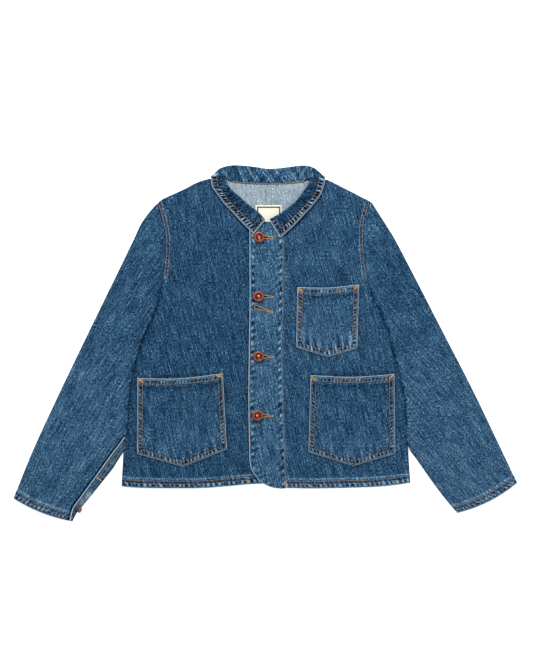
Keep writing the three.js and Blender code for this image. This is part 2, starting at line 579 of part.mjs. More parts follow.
add("back_left", back(LEFT), DENIM_INSIDE);
add("back_right", back(RIGHT), DENIM_INSIDE);
add("neck_label", label(), CREAM);
add("front_right", frontRight(), DENIM);
add("front_left", frontLeft(), DENIM);
add("front_left_band", band(solids), DENIM);
add("sleeve_left", sleeve(LEFT), DENIM);
add("sleeve_right", sleeve(RIGHT), DENIM);
add("collar", collar(), DENIM);
for (const row of POCKETS) add(row.name, pocket(row), DENIM);
const shankFoot = FRONT + PUFF + BAND + GAP;
BUTTONS.forEach(({ x, y }, i) => {
  add(`button_${i + 1}`, button(BUTTON.radius, BAND + GAP), COPPER).position.set(x, y, shankFoot);
});
const cuffButton = add("button_cuff", button(CUFF_BUTTON.radius, CUFF_BUTTON.foot), COPPER);
const { lean, heading } = CUFF_BUTTON;
cuffButton.rotation.set(0, THREE.MathUtils.degToRad(lean), THREE.MathUtils.degToRad(heading), "ZYX");
cuffButton.position.set(CUFF_BUTTON.x, CUFF_BUTTON.y, CUFF_BUTTON.z);

export default coat;
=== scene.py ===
# A denim barn coat laid flat, front up: its cloth, sewing, buttons, floor, lights and camera.
# Tables are in millimetres, in the part's frame before its shift by MIDDLE, as the solids' are.
import json

import bpy
import numpy as np
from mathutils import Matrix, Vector
from mathutils.bvhtree import BVHTree
from mathutils.kdtree import KDTree
from numpy.linalg import norm

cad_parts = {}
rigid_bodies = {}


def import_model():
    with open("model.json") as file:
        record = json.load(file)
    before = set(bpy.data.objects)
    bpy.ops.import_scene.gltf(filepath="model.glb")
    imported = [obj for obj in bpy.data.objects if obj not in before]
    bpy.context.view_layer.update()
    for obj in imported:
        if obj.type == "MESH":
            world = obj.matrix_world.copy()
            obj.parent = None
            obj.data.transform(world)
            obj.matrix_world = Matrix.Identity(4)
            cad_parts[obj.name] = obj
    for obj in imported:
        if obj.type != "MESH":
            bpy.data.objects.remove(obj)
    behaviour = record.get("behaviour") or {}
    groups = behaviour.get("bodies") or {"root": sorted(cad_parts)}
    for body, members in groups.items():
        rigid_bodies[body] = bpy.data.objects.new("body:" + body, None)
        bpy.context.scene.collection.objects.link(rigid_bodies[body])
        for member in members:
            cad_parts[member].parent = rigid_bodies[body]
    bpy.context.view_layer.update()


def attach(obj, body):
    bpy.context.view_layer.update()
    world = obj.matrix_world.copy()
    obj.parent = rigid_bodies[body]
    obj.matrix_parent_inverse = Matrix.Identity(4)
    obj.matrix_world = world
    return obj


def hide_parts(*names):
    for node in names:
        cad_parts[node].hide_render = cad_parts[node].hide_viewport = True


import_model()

# Thickness of each cloth, turned edges, and heights of the layers, as the solids have them
MM = 0.001
CLOTH = 1.2
GAP = 0.3
BAND = 2 * CLOTH
HEM_RISE = 1.0
HEM = 19.7
COLLAR = 2.0
ROLL = 1.4
SLEEVE_EDGE = 1.3
SLEEVE_TURN = 0.95
LABEL = 0.6
LABEL_GAP = 0.45
NECK_LIFT = 2.3
FRONT = 1.7
PUFF = 1.2
OVERLAP_RISE = 2.7
SLEEVE_CROWN = 1.4
FELL_RISE = 0.4
MIDDLE = np.array([0.25, 0.68, 0])
CENTRE = 5.5
EDGES = ("inner", "outer", "bottom", "top")

# Look of the cloth: pitch of its twill, and of the ropes along a seam, their strength past it,
# and how wide a rim is rounded and worn
TWILL_PITCH = 1.05
ROPE_PITCH = 6.8
SPREAD = 0.28
ROUND = 0.3
ROUND_WIDTH = 0.9
WORN_WIDTH = 0.95

# Rows of stitches by their distance from an edge, then the stitches' pitch and the threads' radii
HEM_ROWS = (7.8, 13.4)
CUFF_ROWS = (7.2, 14.3)
ARMHOLE_ROWS = (2.8, 8.2)
POCKET_ROWS = (3.1, 9.6)
POCKET_TOP_ROWS = (3.4, 10.0)
COLLAR_ROWS = (2.8, 11.0)
VENT_ROWS = (-3.2, -9.6)
BAND_ROWS = dict(outer=3.2, inner=2.1)
STITCH = 3.3
SATIN = 0.62
THREAD = 0.44
HEAVY_THREAD = 0.85
SUNK_THREAD = 0.19
TACK_THREAD = 0.46

# Where rows end up the body and its back, the felled seam's rows, and the vent's down a sleeve
BAND_ROW_TOP = 200
ARMHOLE_FOOT = 118
ARMHOLE_FOOT_UNDER = 125
FELL_TOP = 291.5
FELL_FOOT = -232
FELL_ROWS = (0.9, 11.4)
FELL_ROWS_UNDER = (0.9, 11.0)
VENT = (0.707, 0.852)
SLEEVE_LENGTH = 600

# Shares up the body, as the solids have them
SEAM_END = 0.5
UNDERARM_END = 0.62
FIRST_CAP_SHARE = 0.056
NECK_START = 1 - (1 - UNDERARM_END) * (FIRST_CAP_SHARE + 3 * (1 - FIRST_CAP_SHARE) / 7)
BACK_NECK = 293
BACK_NECK_SHARE = 0.48

# Seam lines of the body, each from its upper end down, and edges of the sleeves
LEFT = dict(
    side=1,
    shoulder=[(97, 304), (116, 301), (138, 290.5), (182, 268), (194.5, 261.5)],
    cap=[(194.5, 261.5), (187, 236), (182.2, 211), (182.3, 180), (185.5, 145), (189, 123)],
    underarm=[(189, 123), (195.5, 99), (210, 69.5), (230, 42), (256, 21.5)],
    seam=[(256, 21.5), (260.5, -52), (263.5, -140), (263.8, -195), (267.5, -256)],
    neck=[(96.5, 302), (92, 286.5), (83, 270), (69, 253.5), (51.5, 241), (34.6, 232.6)],
    backNeck=[(97, 304), (81, 300), (57, 295.5), (CENTRE, BACK_NECK)],
    centre=[(34.6, 232.6), (34.6, 80), (32.4, 0), (34.1, -103), (37.1, -177), (39.6, -265.5)],
    hem=[(39.6, -265.5), (94, -266.5), (193, -264), (237, -260.5), (267.5, -256)],
    outer=[
        (196, 261), (228, 211), (250, 172.5), (325.8, 25.5), (382.6, -85), (435.6, -195.5), (464.3, -256),
    ],
    fold=[
        (189, 123), (192.3, 111.5), (196.3, 99), (202.3, 84.5), (208.6, 68.5), (228, 21.5), (246.5, -52),
        (258, -100), (261, -140), (263.2, -187), (282.5, -217.5), (322, -273), (354, -311.5),
    ],
    bow=7,
)
RIGHT = dict(
    side=-1,
    shoulder=[(-88, 304), (-105, 303), (-127, 296), (-149, 284.5), (-187, 267), (-198.5, 258)],
    cap=[(-198.5, 258), (-190, 228), (-184.5, 200), (-183.5, 175), (-187, 132), (-191.5, 112)],
    underarm=[(-191.5, 112), (-193.8, 99), (-200.5, 82), (-213.5, 62), (-232, 40), (-254, 21.5)],
    seam=[(-254, 21.5), (-256, -66), (-257.8, -140), (-261, -204), (-264.3, -262.5)],
    neck=[(-87.5, 302), (-83, 286.5), (-57, 261), (-26, 232.5), (-11, 223), (18.5, 216.5)],
    backNeck=[(-88, 304), (-75.5, 300.5), (-46, 295.5), (CENTRE, BACK_NECK)],
    centre=[(18.5, 216.5), (18.5, -20), (18.5, -257)],
    hem=[(18.5, -257), (-27, -258.5), (-72, -262.5), (-127, -266), (-226, -265.5), (-264.3, -262.5)],
    outer=[
        (-200, 257.5), (-226.5, 224), (-247.5, 180), (-322.8, 25.5), (-376, -85), (-427, -195.5),
        (-463, -284.5),
    ],
    fold=[
        (-191.5, 112), (-194.6, 98), (-197.5, 77), (-204, 57), (-228.5, 0.5), (-244, -55.5),
        (-251.5, -112.5), (-253.2, -145), (-256.6, -170), (-282, -205.5), (-310, -244.5), (-338, -283),
        (-352.5, -304), (-358, -326.5),
    ],
    bow=5,
)
NECK_ROW = [(-74, 300.2), (-40, 296.4), (CENTRE, 294.2), (45, 296), (79, 300.6)]
BACK_HEM_CENTRE = -251
BACK_HEM_SIDE = -4

# Down a sleeve: share, height of its inner edge, 1 where that is folded under, seam from that edge
LEFT["sleeve"] = np.array([
    (0, 1.7, 0, 0.3), (0.255, 1.7, 0, 0.4), (0.285, 3.5, 0, 1.5), (0.31, 3.5, 0, 4), (0.33, 3.5, 1, 12),
    (0.36, 3.5, 1, 20), (0.4, 3.5, 1, 37), (0.45, 3.5, 1, 38), (0.52, 3.5, 1, 24), (0.6, 3.5, 1, 12),
    (0.735, 3.5, 1, 9.3), (0.785, 0, 1, 9.3), (1, 0, 1, 9.3),
])
RIGHT["sleeve"] = np.array([
    (0, 1.7, 0, 0.3), (0.217, 1.7, 0, 0.4), (0.234, 3.5, 0, 2), (0.262, 3.5, 0, 9), (0.28, 3.5, 1, 18),
    (0.31, 3.5, 1, 24), (0.365, 3.5, 1, 37), (0.41, 3.5, 1, 43), (0.45, 3.5, 1, 35), (0.5, 3.5, 1, 24),
    (0.56, 3.5, 1, 17), (0.65, 3.5, 1, 13), (0.685, 3.5, 1, 10), (0.697, 3.5, 0, 2.5), (0.703, 3.2, 0, -0.6),
    (0.72, 1.5, 0, -6.5), (0.74, 1.5, 0, -13.6), (0.8, 1.5, 0, -16), (0.9, 1.5, 0, -13),
    (0.95, 1.5, 0, -11.5), (1, 1.5, 0, -3),
])
CAP_END = 0.215
BOW_START = 0.6
CUFF_HEM = 17.0
EDGE_ZONE = 10
CROWN_WIDTH = 80
SETTLE = dict(past=9, over=34)
SEAM_STEP = dict(tuck=8.5, over=7.5, turn=6)
OUTER_EDGE = 26  # the point of a sleeve's section that lies on its outer edge

# The collar's stations: neck seam, middle of the roll, outer edge, and how far the fall turns
COLLAR_STATIONS = np.array([
    (-9.5, 228, 3.9, -0.5, 226, 8.5, -21, 202, 10.2, 0),
    (-25, 236, 4.2, -15, 241.5, 7.4, -40, 220.5, 8.9, 0),
    (-40.5, 251.5, 4.4, -31.5, 254, 7, -59.5, 241.5, 6.3, 0),
    (-56, 265.5, 5, -46.5, 267.5, 7.4, -73.5, 256, 6.7, 0),
    (-70, 278.5, 5.6, -60.5, 279.5, 8, -87, 273.5, 7.4, 0),
    (-78.5, 289, 5.8, -71.5, 293.5, 8.6, -97, 288.5, 7.4, 12),
    (-80.5, 297, 5.2, -74, 304, 7.5, -99, 300.5, 7.4, 40),
    (-77, 303.8, 4.5, -84, 316.5, 5.4, -99.6, 307, 4, 90),
    (-69, 303, 3.8, -78, 323.2, 3, -93, 307.5, 1.3, 140),
    (-60, 298.3, 3.5, -62, 326.3, 2.6, -75, 294, 1.1, 170),
    (-45, 295.9, 3.5, -42, 326, 2.5, -50, 285, 1.1, 180),
    (-20, 294.3, 3.5, -19, 323.5, 2.5, -20, 282.5, 1.1, 180),
    (5.5, 293.5, 3.5, 5.5, 320, 2.5, 5.5, 281, 1.1, 180),
    (32, 294.5, 3.5, 31, 321.5, 2.5, 33, 282.5, 1.1, 180),
    (57, 296.2, 3.5, 58, 325, 2.5, 63, 285, 1.1, 180),
    (70, 298.6, 3.5, 76, 325.8, 2.6, 88, 294, 1.1, 170),
    (79, 303.4, 3.8, 88.5, 322.5, 3, 103, 307, 1.3, 140),
    (85, 304, 4.5, 95, 315.5, 5.4, 110, 306.5, 4, 90),
    (88.5, 297, 5.2, 86, 303, 7.5, 110.3, 299.5, 7.4, 40),
    (86.5, 286.5, 5.8, 80.5, 290.5, 8.6, 107.5, 287.5, 7.4, 12),
    (78, 270.5, 5.6, 69, 275, 8, 101, 272, 7.4, 0),
    (66.5, 255.5, 5.4, 58, 260.5, 8, 87.5, 254.5, 6.9, 0),
    (51, 243.5, 6.4, 42, 247, 9.2, 69, 234, 8.5, 0),
    (35, 234.5, 6.9, 26, 236, 10, 48.5, 213, 9.7, 0),
    (21, 231.5, 6.9, 8.5, 226.5, 10.4, 27.5, 194.5, 9.8, 0),
])

# Pockets: corners of each, how far its top dips, and how strongly light and shade of puckers are painted near
# its bottom
POCKET_TOP = 12.0
POCKETS = dict(
    pocket_chest=dict(
        side=LEFT, dip=3.3, pucker=0.5,
        corners=[(59.5, 104), (173.5, 109), (169.5, -7.5), (116.5, -24.3), (57.5, -6.5)]),
    pocket_lower_left=dict(
        side=LEFT, dip=4.2, pucker=0.22,
        corners=[(84, -58), (238, -55.8), (240, -202), (162.5, -225), (80, -199.3)]),
    pocket_lower_right=dict(
        side=RIGHT, dip=4.8, pucker=0.2,
        corners=[(-235, -63.5), (-77.8, -54.5), (-70, -194.3), (-151, -226.3), (-235.5, -202.5)]),
)

# The band's edges: beside the left front, round its lower corner, over the right front, at the neck
BAND_INNER = [(39.2, -265.7), (36.8, -177), (33.8, -103), (32.1, 0), (34.3, 80), (34.3, 232.4)]
BAND_CORNER = [(28.5, -266.4), (10, -263.3), (-8, -253.6), (-18, -242), (-25.5, -230), (-28.5, -214)]
BAND_OUTER = [(-28.5, -214), (-30.3, -103), (-29.3, 0), (-28, 80), (-28.5, 213)]
BAND_NECK = [(34.3, 232.4), (2, 221.5), (-28.5, 213)]
CORNER_SHARE = 0.12

# Buttons: their places, and a head's profile as share of the radius, height, and a colour level that rises
# from dark copper to the painted red-orange glint of the middle.
# Keyholes: the middle of the eye, the other end, and how far the slit stands open
BUTTONS = [(-10.5, 196), (-12, 87), (-11.5, -23.5), (-13.5, -132)]
BUTTON_RADIUS = 10.0
BUTTON_SHANK = 1.7
BUTTON_PROFILE = np.array([
    (0.9, 0, 0.1), (0.97, 0.4, 0.2), (1, 1.2, 0.3), (0.97, 1.9, 0.4), (0.9, 2.4, 0.5), (0.8, 2.75, 0.48),
    (0.68, 2.8, 0.4), (0.58, 2.6, 0.24), (0.48, 2.0, 0.04), (0.4, 1.6, 0), (0.31, 1.75, 0.3),
    (0.25, 2.2, 0.75), (0.17, 2.45, 0.8), (0.08, 2.5, 0.85), (0, 2.5, 0.85),
])
CUFF_BUTTON = dict(radius=5.8, foot=3.2, place=(-344.6, -304.4, 3.75), lean=68, heading=-18)
KEYHOLE_EYE = 2.6
KEYHOLES = [((x, y), (15.5, y - 0.8), 2.6) for x, y in BUTTONS]
KEYHOLES.append(((-16.2, 67.5), (14.7, 57.5), 1.2))
CUTTER_ENDS = (4.0, 12.0)

# Bartacks: where each starts and which way it runs
BARTACKS = [
    ((60.3, 102.7), (8.5, -7.5)), ((172.7, 107.9), (-8, -7.5)), ((85, -59), (8.5, -8)),
    ((237, -56.6), (-8, -8)), ((-233.5, -62), (9, -9)), ((-224, -63.5), (-9.5, -5.5)),
    ((-79, -53.5), (-8, -8.5)), ((-90, -58), (10, -3.5)), ((38.5, -252.6), (0.2, -5)),
    ((-34, -246.3), (5, -1)), ((-34, -251.5), (5, -1)), ((-309.5, -246.5), (8, -6)),
]

# The label's left, right, lower and upper edges, and its frame's two sides from them
LABEL_BOX = (-17.5, 31, 222, 255.3)
LABEL_FRAME = (2.8, 5.3)

# Camera, and the floor just under the coat, in metres
CAMERA_HEIGHT = 3.0
PICTURE_HEIGHT = 1.2254
PICTURE_MIDDLE = (0.0025, 0.0191)
FLOOR = 4.0
FLOOR_Z = -0.0006


def ease(t):
    t = np.clip(t, 0, 1)
    return t * t * (3 - 2 * t)


def lerp(a, b, t):
    return a + (b - a) * t


# A bump of height 1 round one value
def bell(x, middle, width):
    return np.exp(-((x - middle) / width) ** 2)


# The distance run along a line at each of its points
def run_along(line):
    return np.concatenate([[0], np.cumsum(norm(np.diff(line, axis=0), axis=1))])


# A smooth value between b and c, the middle two of four even stations
def smooth(t, a, b, c, d):
    slope_b = (c - a) / 2
    slope_c = (d - b) / 2
    return ((2 * (b - c) + slope_b + slope_c) * t ** 3
            + (3 * (c - b) - 2 * slope_b - slope_c) * t ** 2 + slope_b * t + b)


# A smooth line through points, read by the share of its length
def curve(points):
    p = np.array(points, float)
    p = np.vstack([p[:1], p, p[-1:]])
    t = np.linspace(0, 1, 40, endpoint=False)[:, None]
    line = np.vstack([smooth(t, *p[i:i + 4]) for i in range(len(p) - 3)] + [p[-1:]])
    share = run_along(line)
    share = share / share[-1]
    return lambda s: np.stack([np.interp(s, share, line[:, k]) for k in range(line.shape[1])], -1)


# A line of one or more curves, each up to a share of the whole
def edge(*stretches):
    def at(share):
        share = np.asarray(share, float)
        made = np.zeros(share.shape + (2,))
        start = 0
        for points, until in stretches:
            part = curve(points)((share - start) / (until - start))
            made = np.where((share >= start)[..., None], part, made)
            start = until
        return made
    return at


# A grid of points between four edges: inner and outer run up, bottom and top run outward
def patch(inner, outer, bottom, top, across, up):
    u, v = np.meshgrid(across, up)
    u, v = u[..., None], v[..., None]
    ends = np.array([0.0, 1.0])
    (i0, i1), (o0, o1) = inner(ends), outer(ends)
    sides = (1 - u) * inner(up)[:, None] + u * outer(up)[:, None]
    rims = (1 - v) * bottom(across)[None] + v * top(across)[None]
    return sides + rims - (1 - v) * ((1 - u) * i0 + u * o0) - v * ((1 - u) * i1 + u * o1)


# Shares of a length: fine steps near both ends and wider ones between
def shares(length, rim=24.0, fine=1.5, coarse=4.0):
    near = np.concatenate([[0, 0.35, 0.9], np.arange(1.5, rim, fine)])
    middle = np.linspace(rim, length - rim, max(2, int((length - 2 * rim) / coarse)))
    return np.concatenate([near, middle, length - near[::-1]]) / length


# How far each point of a grid is from its four edges, along its lines
def reach(grid):
    across = norm(np.diff(grid, axis=1), axis=2)
    along = norm(np.diff(grid, axis=0), axis=2)
    inner = np.pad(np.cumsum(across, 1), ((0, 0), (1, 0)))
    bottom = np.pad(np.cumsum(along, 0), ((1, 0), (0, 0)))
    return dict(inner=inner, outer=inner[:, -1:] - inner, bottom=bottom, top=bottom[-1:] - bottom)


# The line at some distance from one edge of a grid, between two shares of that edge
def inset(grid, name, depth, low=0.0, high=1.0):
    far = reach(grid)[name]
    flip = name in ("inner", "outer")
    lines, far = (grid, far) if flip else (grid.transpose(1, 0, 2), far.T)
    line = []
    for points, away in zip(lines, far):
        order = np.argsort(away)
        line.append([np.interp(depth, away[order], points[order, k]) for k in range(2)])
    line = np.array(line)
    first, last = int(round(low * (len(line) - 1))), int(round(high * (len(line) - 1)))
    return line[first:last + 1]


# How far points are from a line of seams
def distance(lines, grid):
    best = np.full(grid.shape[:-1], 1e9)
    for points in lines:
        line = curve(points)(np.linspace(0, 1, 60))
        for a, b in zip(line[:-1], line[1:]):
            t = np.clip(((grid - a) @ (b - a)) / ((b - a) @ (b - a)), 0, 1)
            best = np.minimum(best, norm(grid - a - t[..., None] * (b - a), axis=-1))
    return best


# Uneven waves along a seam, slanting a little, from -1 to 1
def ripple(s, d, pitch, seed, slant=0.5):
    size = np.random.default_rng(seed).uniform(0.25, 1, 900) * np.resize([1, -1], 900)
    t = (s + slant * d) / pitch + 50
    i = np.floor(t).astype(int)
    f = ease(t - i)
    return size[i] * (1 - f) + size[i + 1] * f


# Soft uneven relief over a place, from -1 to 1
def mottle(x, y, pitch, seed):
    knots = np.random.default_rng(seed).uniform(-1, 1, (90, 90))
    u, v = x / pitch + 45, y / pitch + 45
    i, j = np.floor(u).astype(int), np.floor(v).astype(int)
    f, g = ease(u - i), ease(v - j)
    low = knots[i, j] * (1 - f) + knots[i + 1, j] * f
    high = knots[i, j + 1] * (1 - f) + knots[i + 1, j + 1] * f
    return low * (1 - g) + high * g


# Heights of the layers at any place
def neck_lift(grid):
    x, y = grid[..., 0], grid[..., 1]
    return NECK_LIFT * ease((y - 245) / 32) * ease((148 - abs(x - CENTRE)) / 42)


def swell(side, grid):
    x, y = grid[..., 0], grid[..., 1]
    loose = ease((distance([side["shoulder"], side["cap"], side["underarm"], side["seam"]], grid) - 8) / 40)
    loose = loose * ease((abs(x) - 34) / 40) * ease((250 - y) / 60)
    return loose * (0.45 * mottle(x, y * 0.6, 62, 5) + 0.2 * mottle(x, y * 0.7, 26, 6))


def front_under(side, grid):
    seams = [side["shoulder"], side["cap"], side["underarm"], side["seam"]]
    puff = PUFF * ease((distance(seams, grid) - 20) / 40)
    rise = OVERLAP_RISE * (1 - ease((grid[..., 0] - 32) / 34)) * (side is LEFT)
    return neck_lift(grid) + FRONT + puff + rise + swell(side, grid)


def band_under(grid):
    return neck_lift(grid) + FRONT + PUFF + BAND + GAP


# Sewing along edges: how far in its zone reaches, how strongly it ropes, how worn its edge is,
# and the pitch of its ropes where they have their own
def seam_marks(far, seams, seed, lean=1.0):
    shape = far["inner"].shape
    marks = {key: np.zeros(shape) for key in ("along", "from", "rope", "rub", "shade", "lift")}
    for k, (name, zone, rope, worn, *pitch) in enumerate(seams):
        d = far[name]
        s = (far["bottom"] if name in ("inner", "outer") else far["inner"]) + 400 * k
        s = s * ROPE_PITCH / (pitch or [ROPE_PITCH])[0]
        inside = ease((d - 2.0) / 1.4) * (1 - ease((d - zone + 0.5) / 2.0))
        beyond = SPREAD * ease((d - zone + 0.5) / 2) * (1 - ease((d - zone - 2) / 12))
        strength = rope * np.maximum(inside, beyond)
        nearest = strength > marks["rope"]
        for key, value in (("along", s), ("from", lean * d), ("rope", strength)):
            marks[key] = np.where(nearest, value, marks[key])
        marks["lift"] += 0.16 * rope * ripple(s, d, 5.5, seed + k) * inside
        # Painted shade in the crease just past the seam's zone
        marks["shade"] -= 0.12 * rope * bell(d, zone + 1.2, 1.4)
        marks["rub"] = np.maximum(marks["rub"], worn * bell(d, 0, WORN_WIDTH))
    return marks


# Faces of the closed wall between two matching grids, whose lower points come first
def wall_faces(rows, columns):
    a = np.arange(rows * columns).reshape(rows, columns)
    b = a + rows * columns
    quads = [
        (b[:-1, :-1], b[:-1, 1:], b[1:, 1:], b[1:, :-1]),
        (a[:-1, :-1], a[1:, :-1], a[1:, 1:], a[:-1, 1:]),
        (a[:-1, 0], b[:-1, 0], b[1:, 0], a[1:, 0]),
        (a[:-1, -1], a[1:, -1], b[1:, -1], b[:-1, -1]),
        (a[0, :-1], a[0, 1:], b[0, 1:], b[0, :-1]),
        (a[-1, :-1], b[-1, :-1], b[-1, 1:], a[-1, 1:]),
    ]
    return np.vstack([np.stack(corners, -1).reshape(-1, 4) for corners in quads])


# The wall between two matching grids, with its grain, tone and reverse side, whose yarns look shorter
def shell(name, low, high, grain, marks, reverse=(1, 0), seed=0.0, slope=0.25):
    rows, columns = low.shape[:2]
    faces = wall_faces(rows, columns)
    points = np.vstack([low.reshape(-1, 3), high.reshape(-1, 3)])
    p, q, r = (points[faces[:, k]] for k in range(3))
    if np.einsum("ij,ij->i", p, np.cross(q, r)).sum() < 0:
        faces = faces[:, ::-1]
    obj = solid(name, points, faces)
    across, up = grain.reshape(-1, 2).T
    hem = np.stack([marks["along"], marks["from"], marks["shade"]], -1).reshape(-1, 3)
    threads, tones = [], []
    for layer, back_side in enumerate(reverse):
        back_side = np.broadcast_to(back_side, (rows, columns))
        length = np.where(back_side.ravel() > 0.9, 2.4, 1.0)
        apart = np.full(up.size, seed + 7 * layer)
        threads.append(np.column_stack([across + slope * up, length * up, apart]))
        tones.append(np.stack([marks["rope"], back_side, marks["rub"]], -1).reshape(-1, 3))
    field(obj, "grain", np.vstack(threads))
    field(obj, "hem", np.vstack([hem, hem]))
    field(obj, "tone", np.vstack(tones))
    dress(obj, "denim", [name])
    return obj


# A new object in the scene
def add(name, data):
    made = bpy.data.objects.new(name, data)
    bpy.context.scene.collection.objects.link(made)
    return made


# A mesh from points in the tables' millimetres
def mesh_from(name, points, faces):
    mesh = bpy.data.meshes.new(name)
    mesh.from_pydata(((np.asarray(points) - MIDDLE) * MM).tolist(), [], faces)
    return mesh


def solid(name, points, faces):
    mesh = mesh_from(name, points, np.asarray(faces).tolist())
    mesh.shade_smooth()
    return add(name + "_look", mesh)


# Three values kept at each point of a piece
def field(obj, name, values):
    layer = obj.data.attributes.new(name, "FLOAT_VECTOR", "POINT")
    layer.data.foreach_set("vector", np.asarray(values, np.float32).ravel())


# One value kept at each point
def paint(obj, name, values):
    layer = obj.data.attributes.new(name, "FLOAT", "POINT")
    layer.data.foreach_set("value", np.asarray(values, np.float32).ravel())


# The three values read again
def read_field(obj, name):
    layer = obj.data.attributes[name]
    values = np.zeros(len(layer.data) * 3, np.float32)
    layer.data.foreach_get("vector", values)
    return values.reshape(-1, 3)


# Gives a piece its material and body, and the solids that it replaces
def dress(obj, slot, nodes=()):
    obj.data.materials.append(MATERIALS[slot])
    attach(obj, "root")
    if nodes:
        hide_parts(*nodes)


def lifted(grid, height):
    return np.concatenate([grid, height[..., None]], -1)


# Painted shadow: darker cloth close beside the edges that stand over it
def beside(grid, lines, width, depth):
    return -depth * bell(distance(lines, grid), 0, width)


# How much thinner the cloth is at its rounded rim
def rounding(rim):
    return ROUND * (1 - np.clip(rim / ROUND_WIDTH, 0, 1)) ** 2


# A panel lying on its grid
def panel(name, grid, under, thick, far, seams, seed, reverse=(1.0, 0.0), shade=0.0, lean=1.0):
    marks = seam_marks(far, seams, seed, lean)
    marks["shade"] += shade
    rim = np.minimum.reduce([far[key] for key in EDGES])
    top = under + thick - rounding(rim) + marks["lift"]
    return shell(name, lifted(grid, under), lifted(grid, top), grid, marks, reverse, float(seed))


# A shader node with its settings, then its values and links
def node(tree, kind, inputs=(), **settings):
    made = tree.nodes.new("ShaderNode" + kind)
    for key, value in settings.items():
        setattr(made, key, value)
    for key, value in dict(inputs).items():
        if isinstance(value, bpy.types.NodeSocket):
            tree.links.new(value, made.inputs[key])
        else:
            made.inputs[key].default_value = value
    return made


# A colour given from 0 to 255, as linear light
def linear(*colour):
    levels = [value / 255 for value in colour]
    return (*(((c + 0.055) / 1.055) ** 2.4 if c > 0.04 else c / 12.92 for c in levels), 1)


def material(name, **inputs):
    made = bpy.data.materials.new(name)
    made.use_nodes = True
    shader = made.node_tree.nodes["Principled BSDF"]
    for key, value in inputs.items():
        shader.inputs[key.replace("_", " ")].default_value = value
    return made, made.node_tree, shader


def ramp(tree, value, *stops):
    made = node(tree, "ValToRGB", {"Fac": value})
    elements = made.color_ramp.elements
    while len(elements) < len(stops):
        elements.new(0.5)
    for element, (at, colour) in zip(elements, stops):
        element.position = at
        element.color = linear(*colour)
    return made.outputs["Color"]


def denim():
    made, tree, shader = material("denim", Roughness=0.9, Specular_IOR_Level=0.08)

    def calc(operation, *values):
        return node(tree, "Math", dict(enumerate(values)), operation=operation).outputs[0]

    grain, hem, tone = (node(tree, "Attribute", attribute_name=name).outputs["Vector"]
                        for name in ("grain", "hem", "tone"))
    axes, seam, parts = (node(tree, "SeparateXYZ", {"Vector": value}).outputs for value in (grain, hem, tone))

    def noise(width, length, detail, rough=0.55, source=grain):
        size = (1 / width, 1 / length, 1)
        scaled = node(tree, "VectorMath", {0: source, 1: size}, operation="MULTIPLY")
        texture = node(tree, "TexNoise",
                       {"Vector": scaled.outputs[0], "Scale": 1.0, "Detail": detail, "Roughness": rough})
        return calc("SUBTRACT", texture.outputs["Fac"], 0.5)

    # Roping: light and dark dashes that slant across a seam, not quite even
    slant = calc("MULTIPLY_ADD", seam["Y"], 0.3, seam["X"])
    turns = calc("MULTIPLY", slant, 2 * np.pi / ROPE_PITCH)
    phase = calc("MULTIPLY_ADD", noise(18.0, 60.0, 1.0, source=hem), 9.0, turns)
    even = calc("MULTIPLY", calc("SINE", phase), 0.62)
    uneven = calc("MULTIPLY_ADD", noise(4.2, 12.0, 1.0, source=hem), 3.0, even)
    roping = calc("MULTIPLY", uneven, parts["X"])
    worn = calc("MULTIPLY", parts["Z"], calc("MULTIPLY_ADD", uneven, 0.22, 0.9))

    # Twill runs diagonally over the threads, under one millimetre from ridge to ridge
    diagonal = calc("MULTIPLY_ADD", axes["Y"], 0.75, axes["X"])
    twill = calc("SINE", calc("MULTIPLY", diagonal, 2 * np.pi / TWILL_PITCH))
    # The levels add up; the hem's third value brings each piece's tone with its painted shadows and its
    # painted shade in creases, grooves and puckers
    layers = [
        (noise(1.5, 3.8, 2.0, 0.6), 1.9),
        (noise(1.0, 14.0, 1.0), 0.55),
        (noise(2.5, 36.0, 1.0), 0.8),
        (noise(24.0, 34.0, 2.0), 0.26),
        (twill, 0.035),
        (roping, 0.8),
        (worn, 0.2),
        (seam["Z"], 1.0),
    ]
    total = 0.36
    for value, weight in layers:
        total = calc("MULTIPLY_ADD", value, weight, total)
    face = ramp(tree, total, (0.0, (1, 14, 34)), (0.3, (19, 53, 84)), (0.5, (45, 82, 113)),
                (0.75, (80, 118, 147)), (1.0, (142, 174, 194)))
    inside = ramp(tree, total, (0.12, (104, 124, 138)), (0.45, (151, 171, 182)), (0.8, (208, 219, 222)))
    sides = {"Factor": parts["Y"], "A": face, "B": inside}
    colour = node(tree, "Mix", sides, data_type="RGBA").outputs["Result"]
    wear = {"Factor": calc("MULTIPLY", worn, 0.78), "A": colour, "B": linear(198, 227, 243)}
    faded = node(tree, "Mix", wear, data_type="RGBA").outputs["Result"]
    tree.links.new(faded, shader.inputs["Base Color"])
    bump = node(tree, "Bump", {"Height": total, "Strength": 0.55, "Distance": 0.0004})
    tree.links.new(bump.outputs["Normal"], shader.inputs["Normal"])
    return made


def thread():
    made, tree, shader = material("thread", Roughness=0.6)
    tint = node(tree, "TexNoise", {"Scale": 160.0, "Detail": 1.0}).outputs["Fac"]
    colour = ramp(tree, tint, (0.3, (156, 116, 64)), (0.7, (216, 170, 100)))
    tree.links.new(colour, shader.inputs["Base Color"])
    return made


def label_cloth():
    made, tree, shader = material("label", Roughness=0.8)
    ink = node(tree, "Attribute", attribute_name="ink").outputs["Fac"]
    colour = ramp(tree, ink, (0.35, (238, 234, 214)), (0.65, (38, 58, 40)))
    tree.links.new(colour, shader.inputs["Base Color"])
    return made


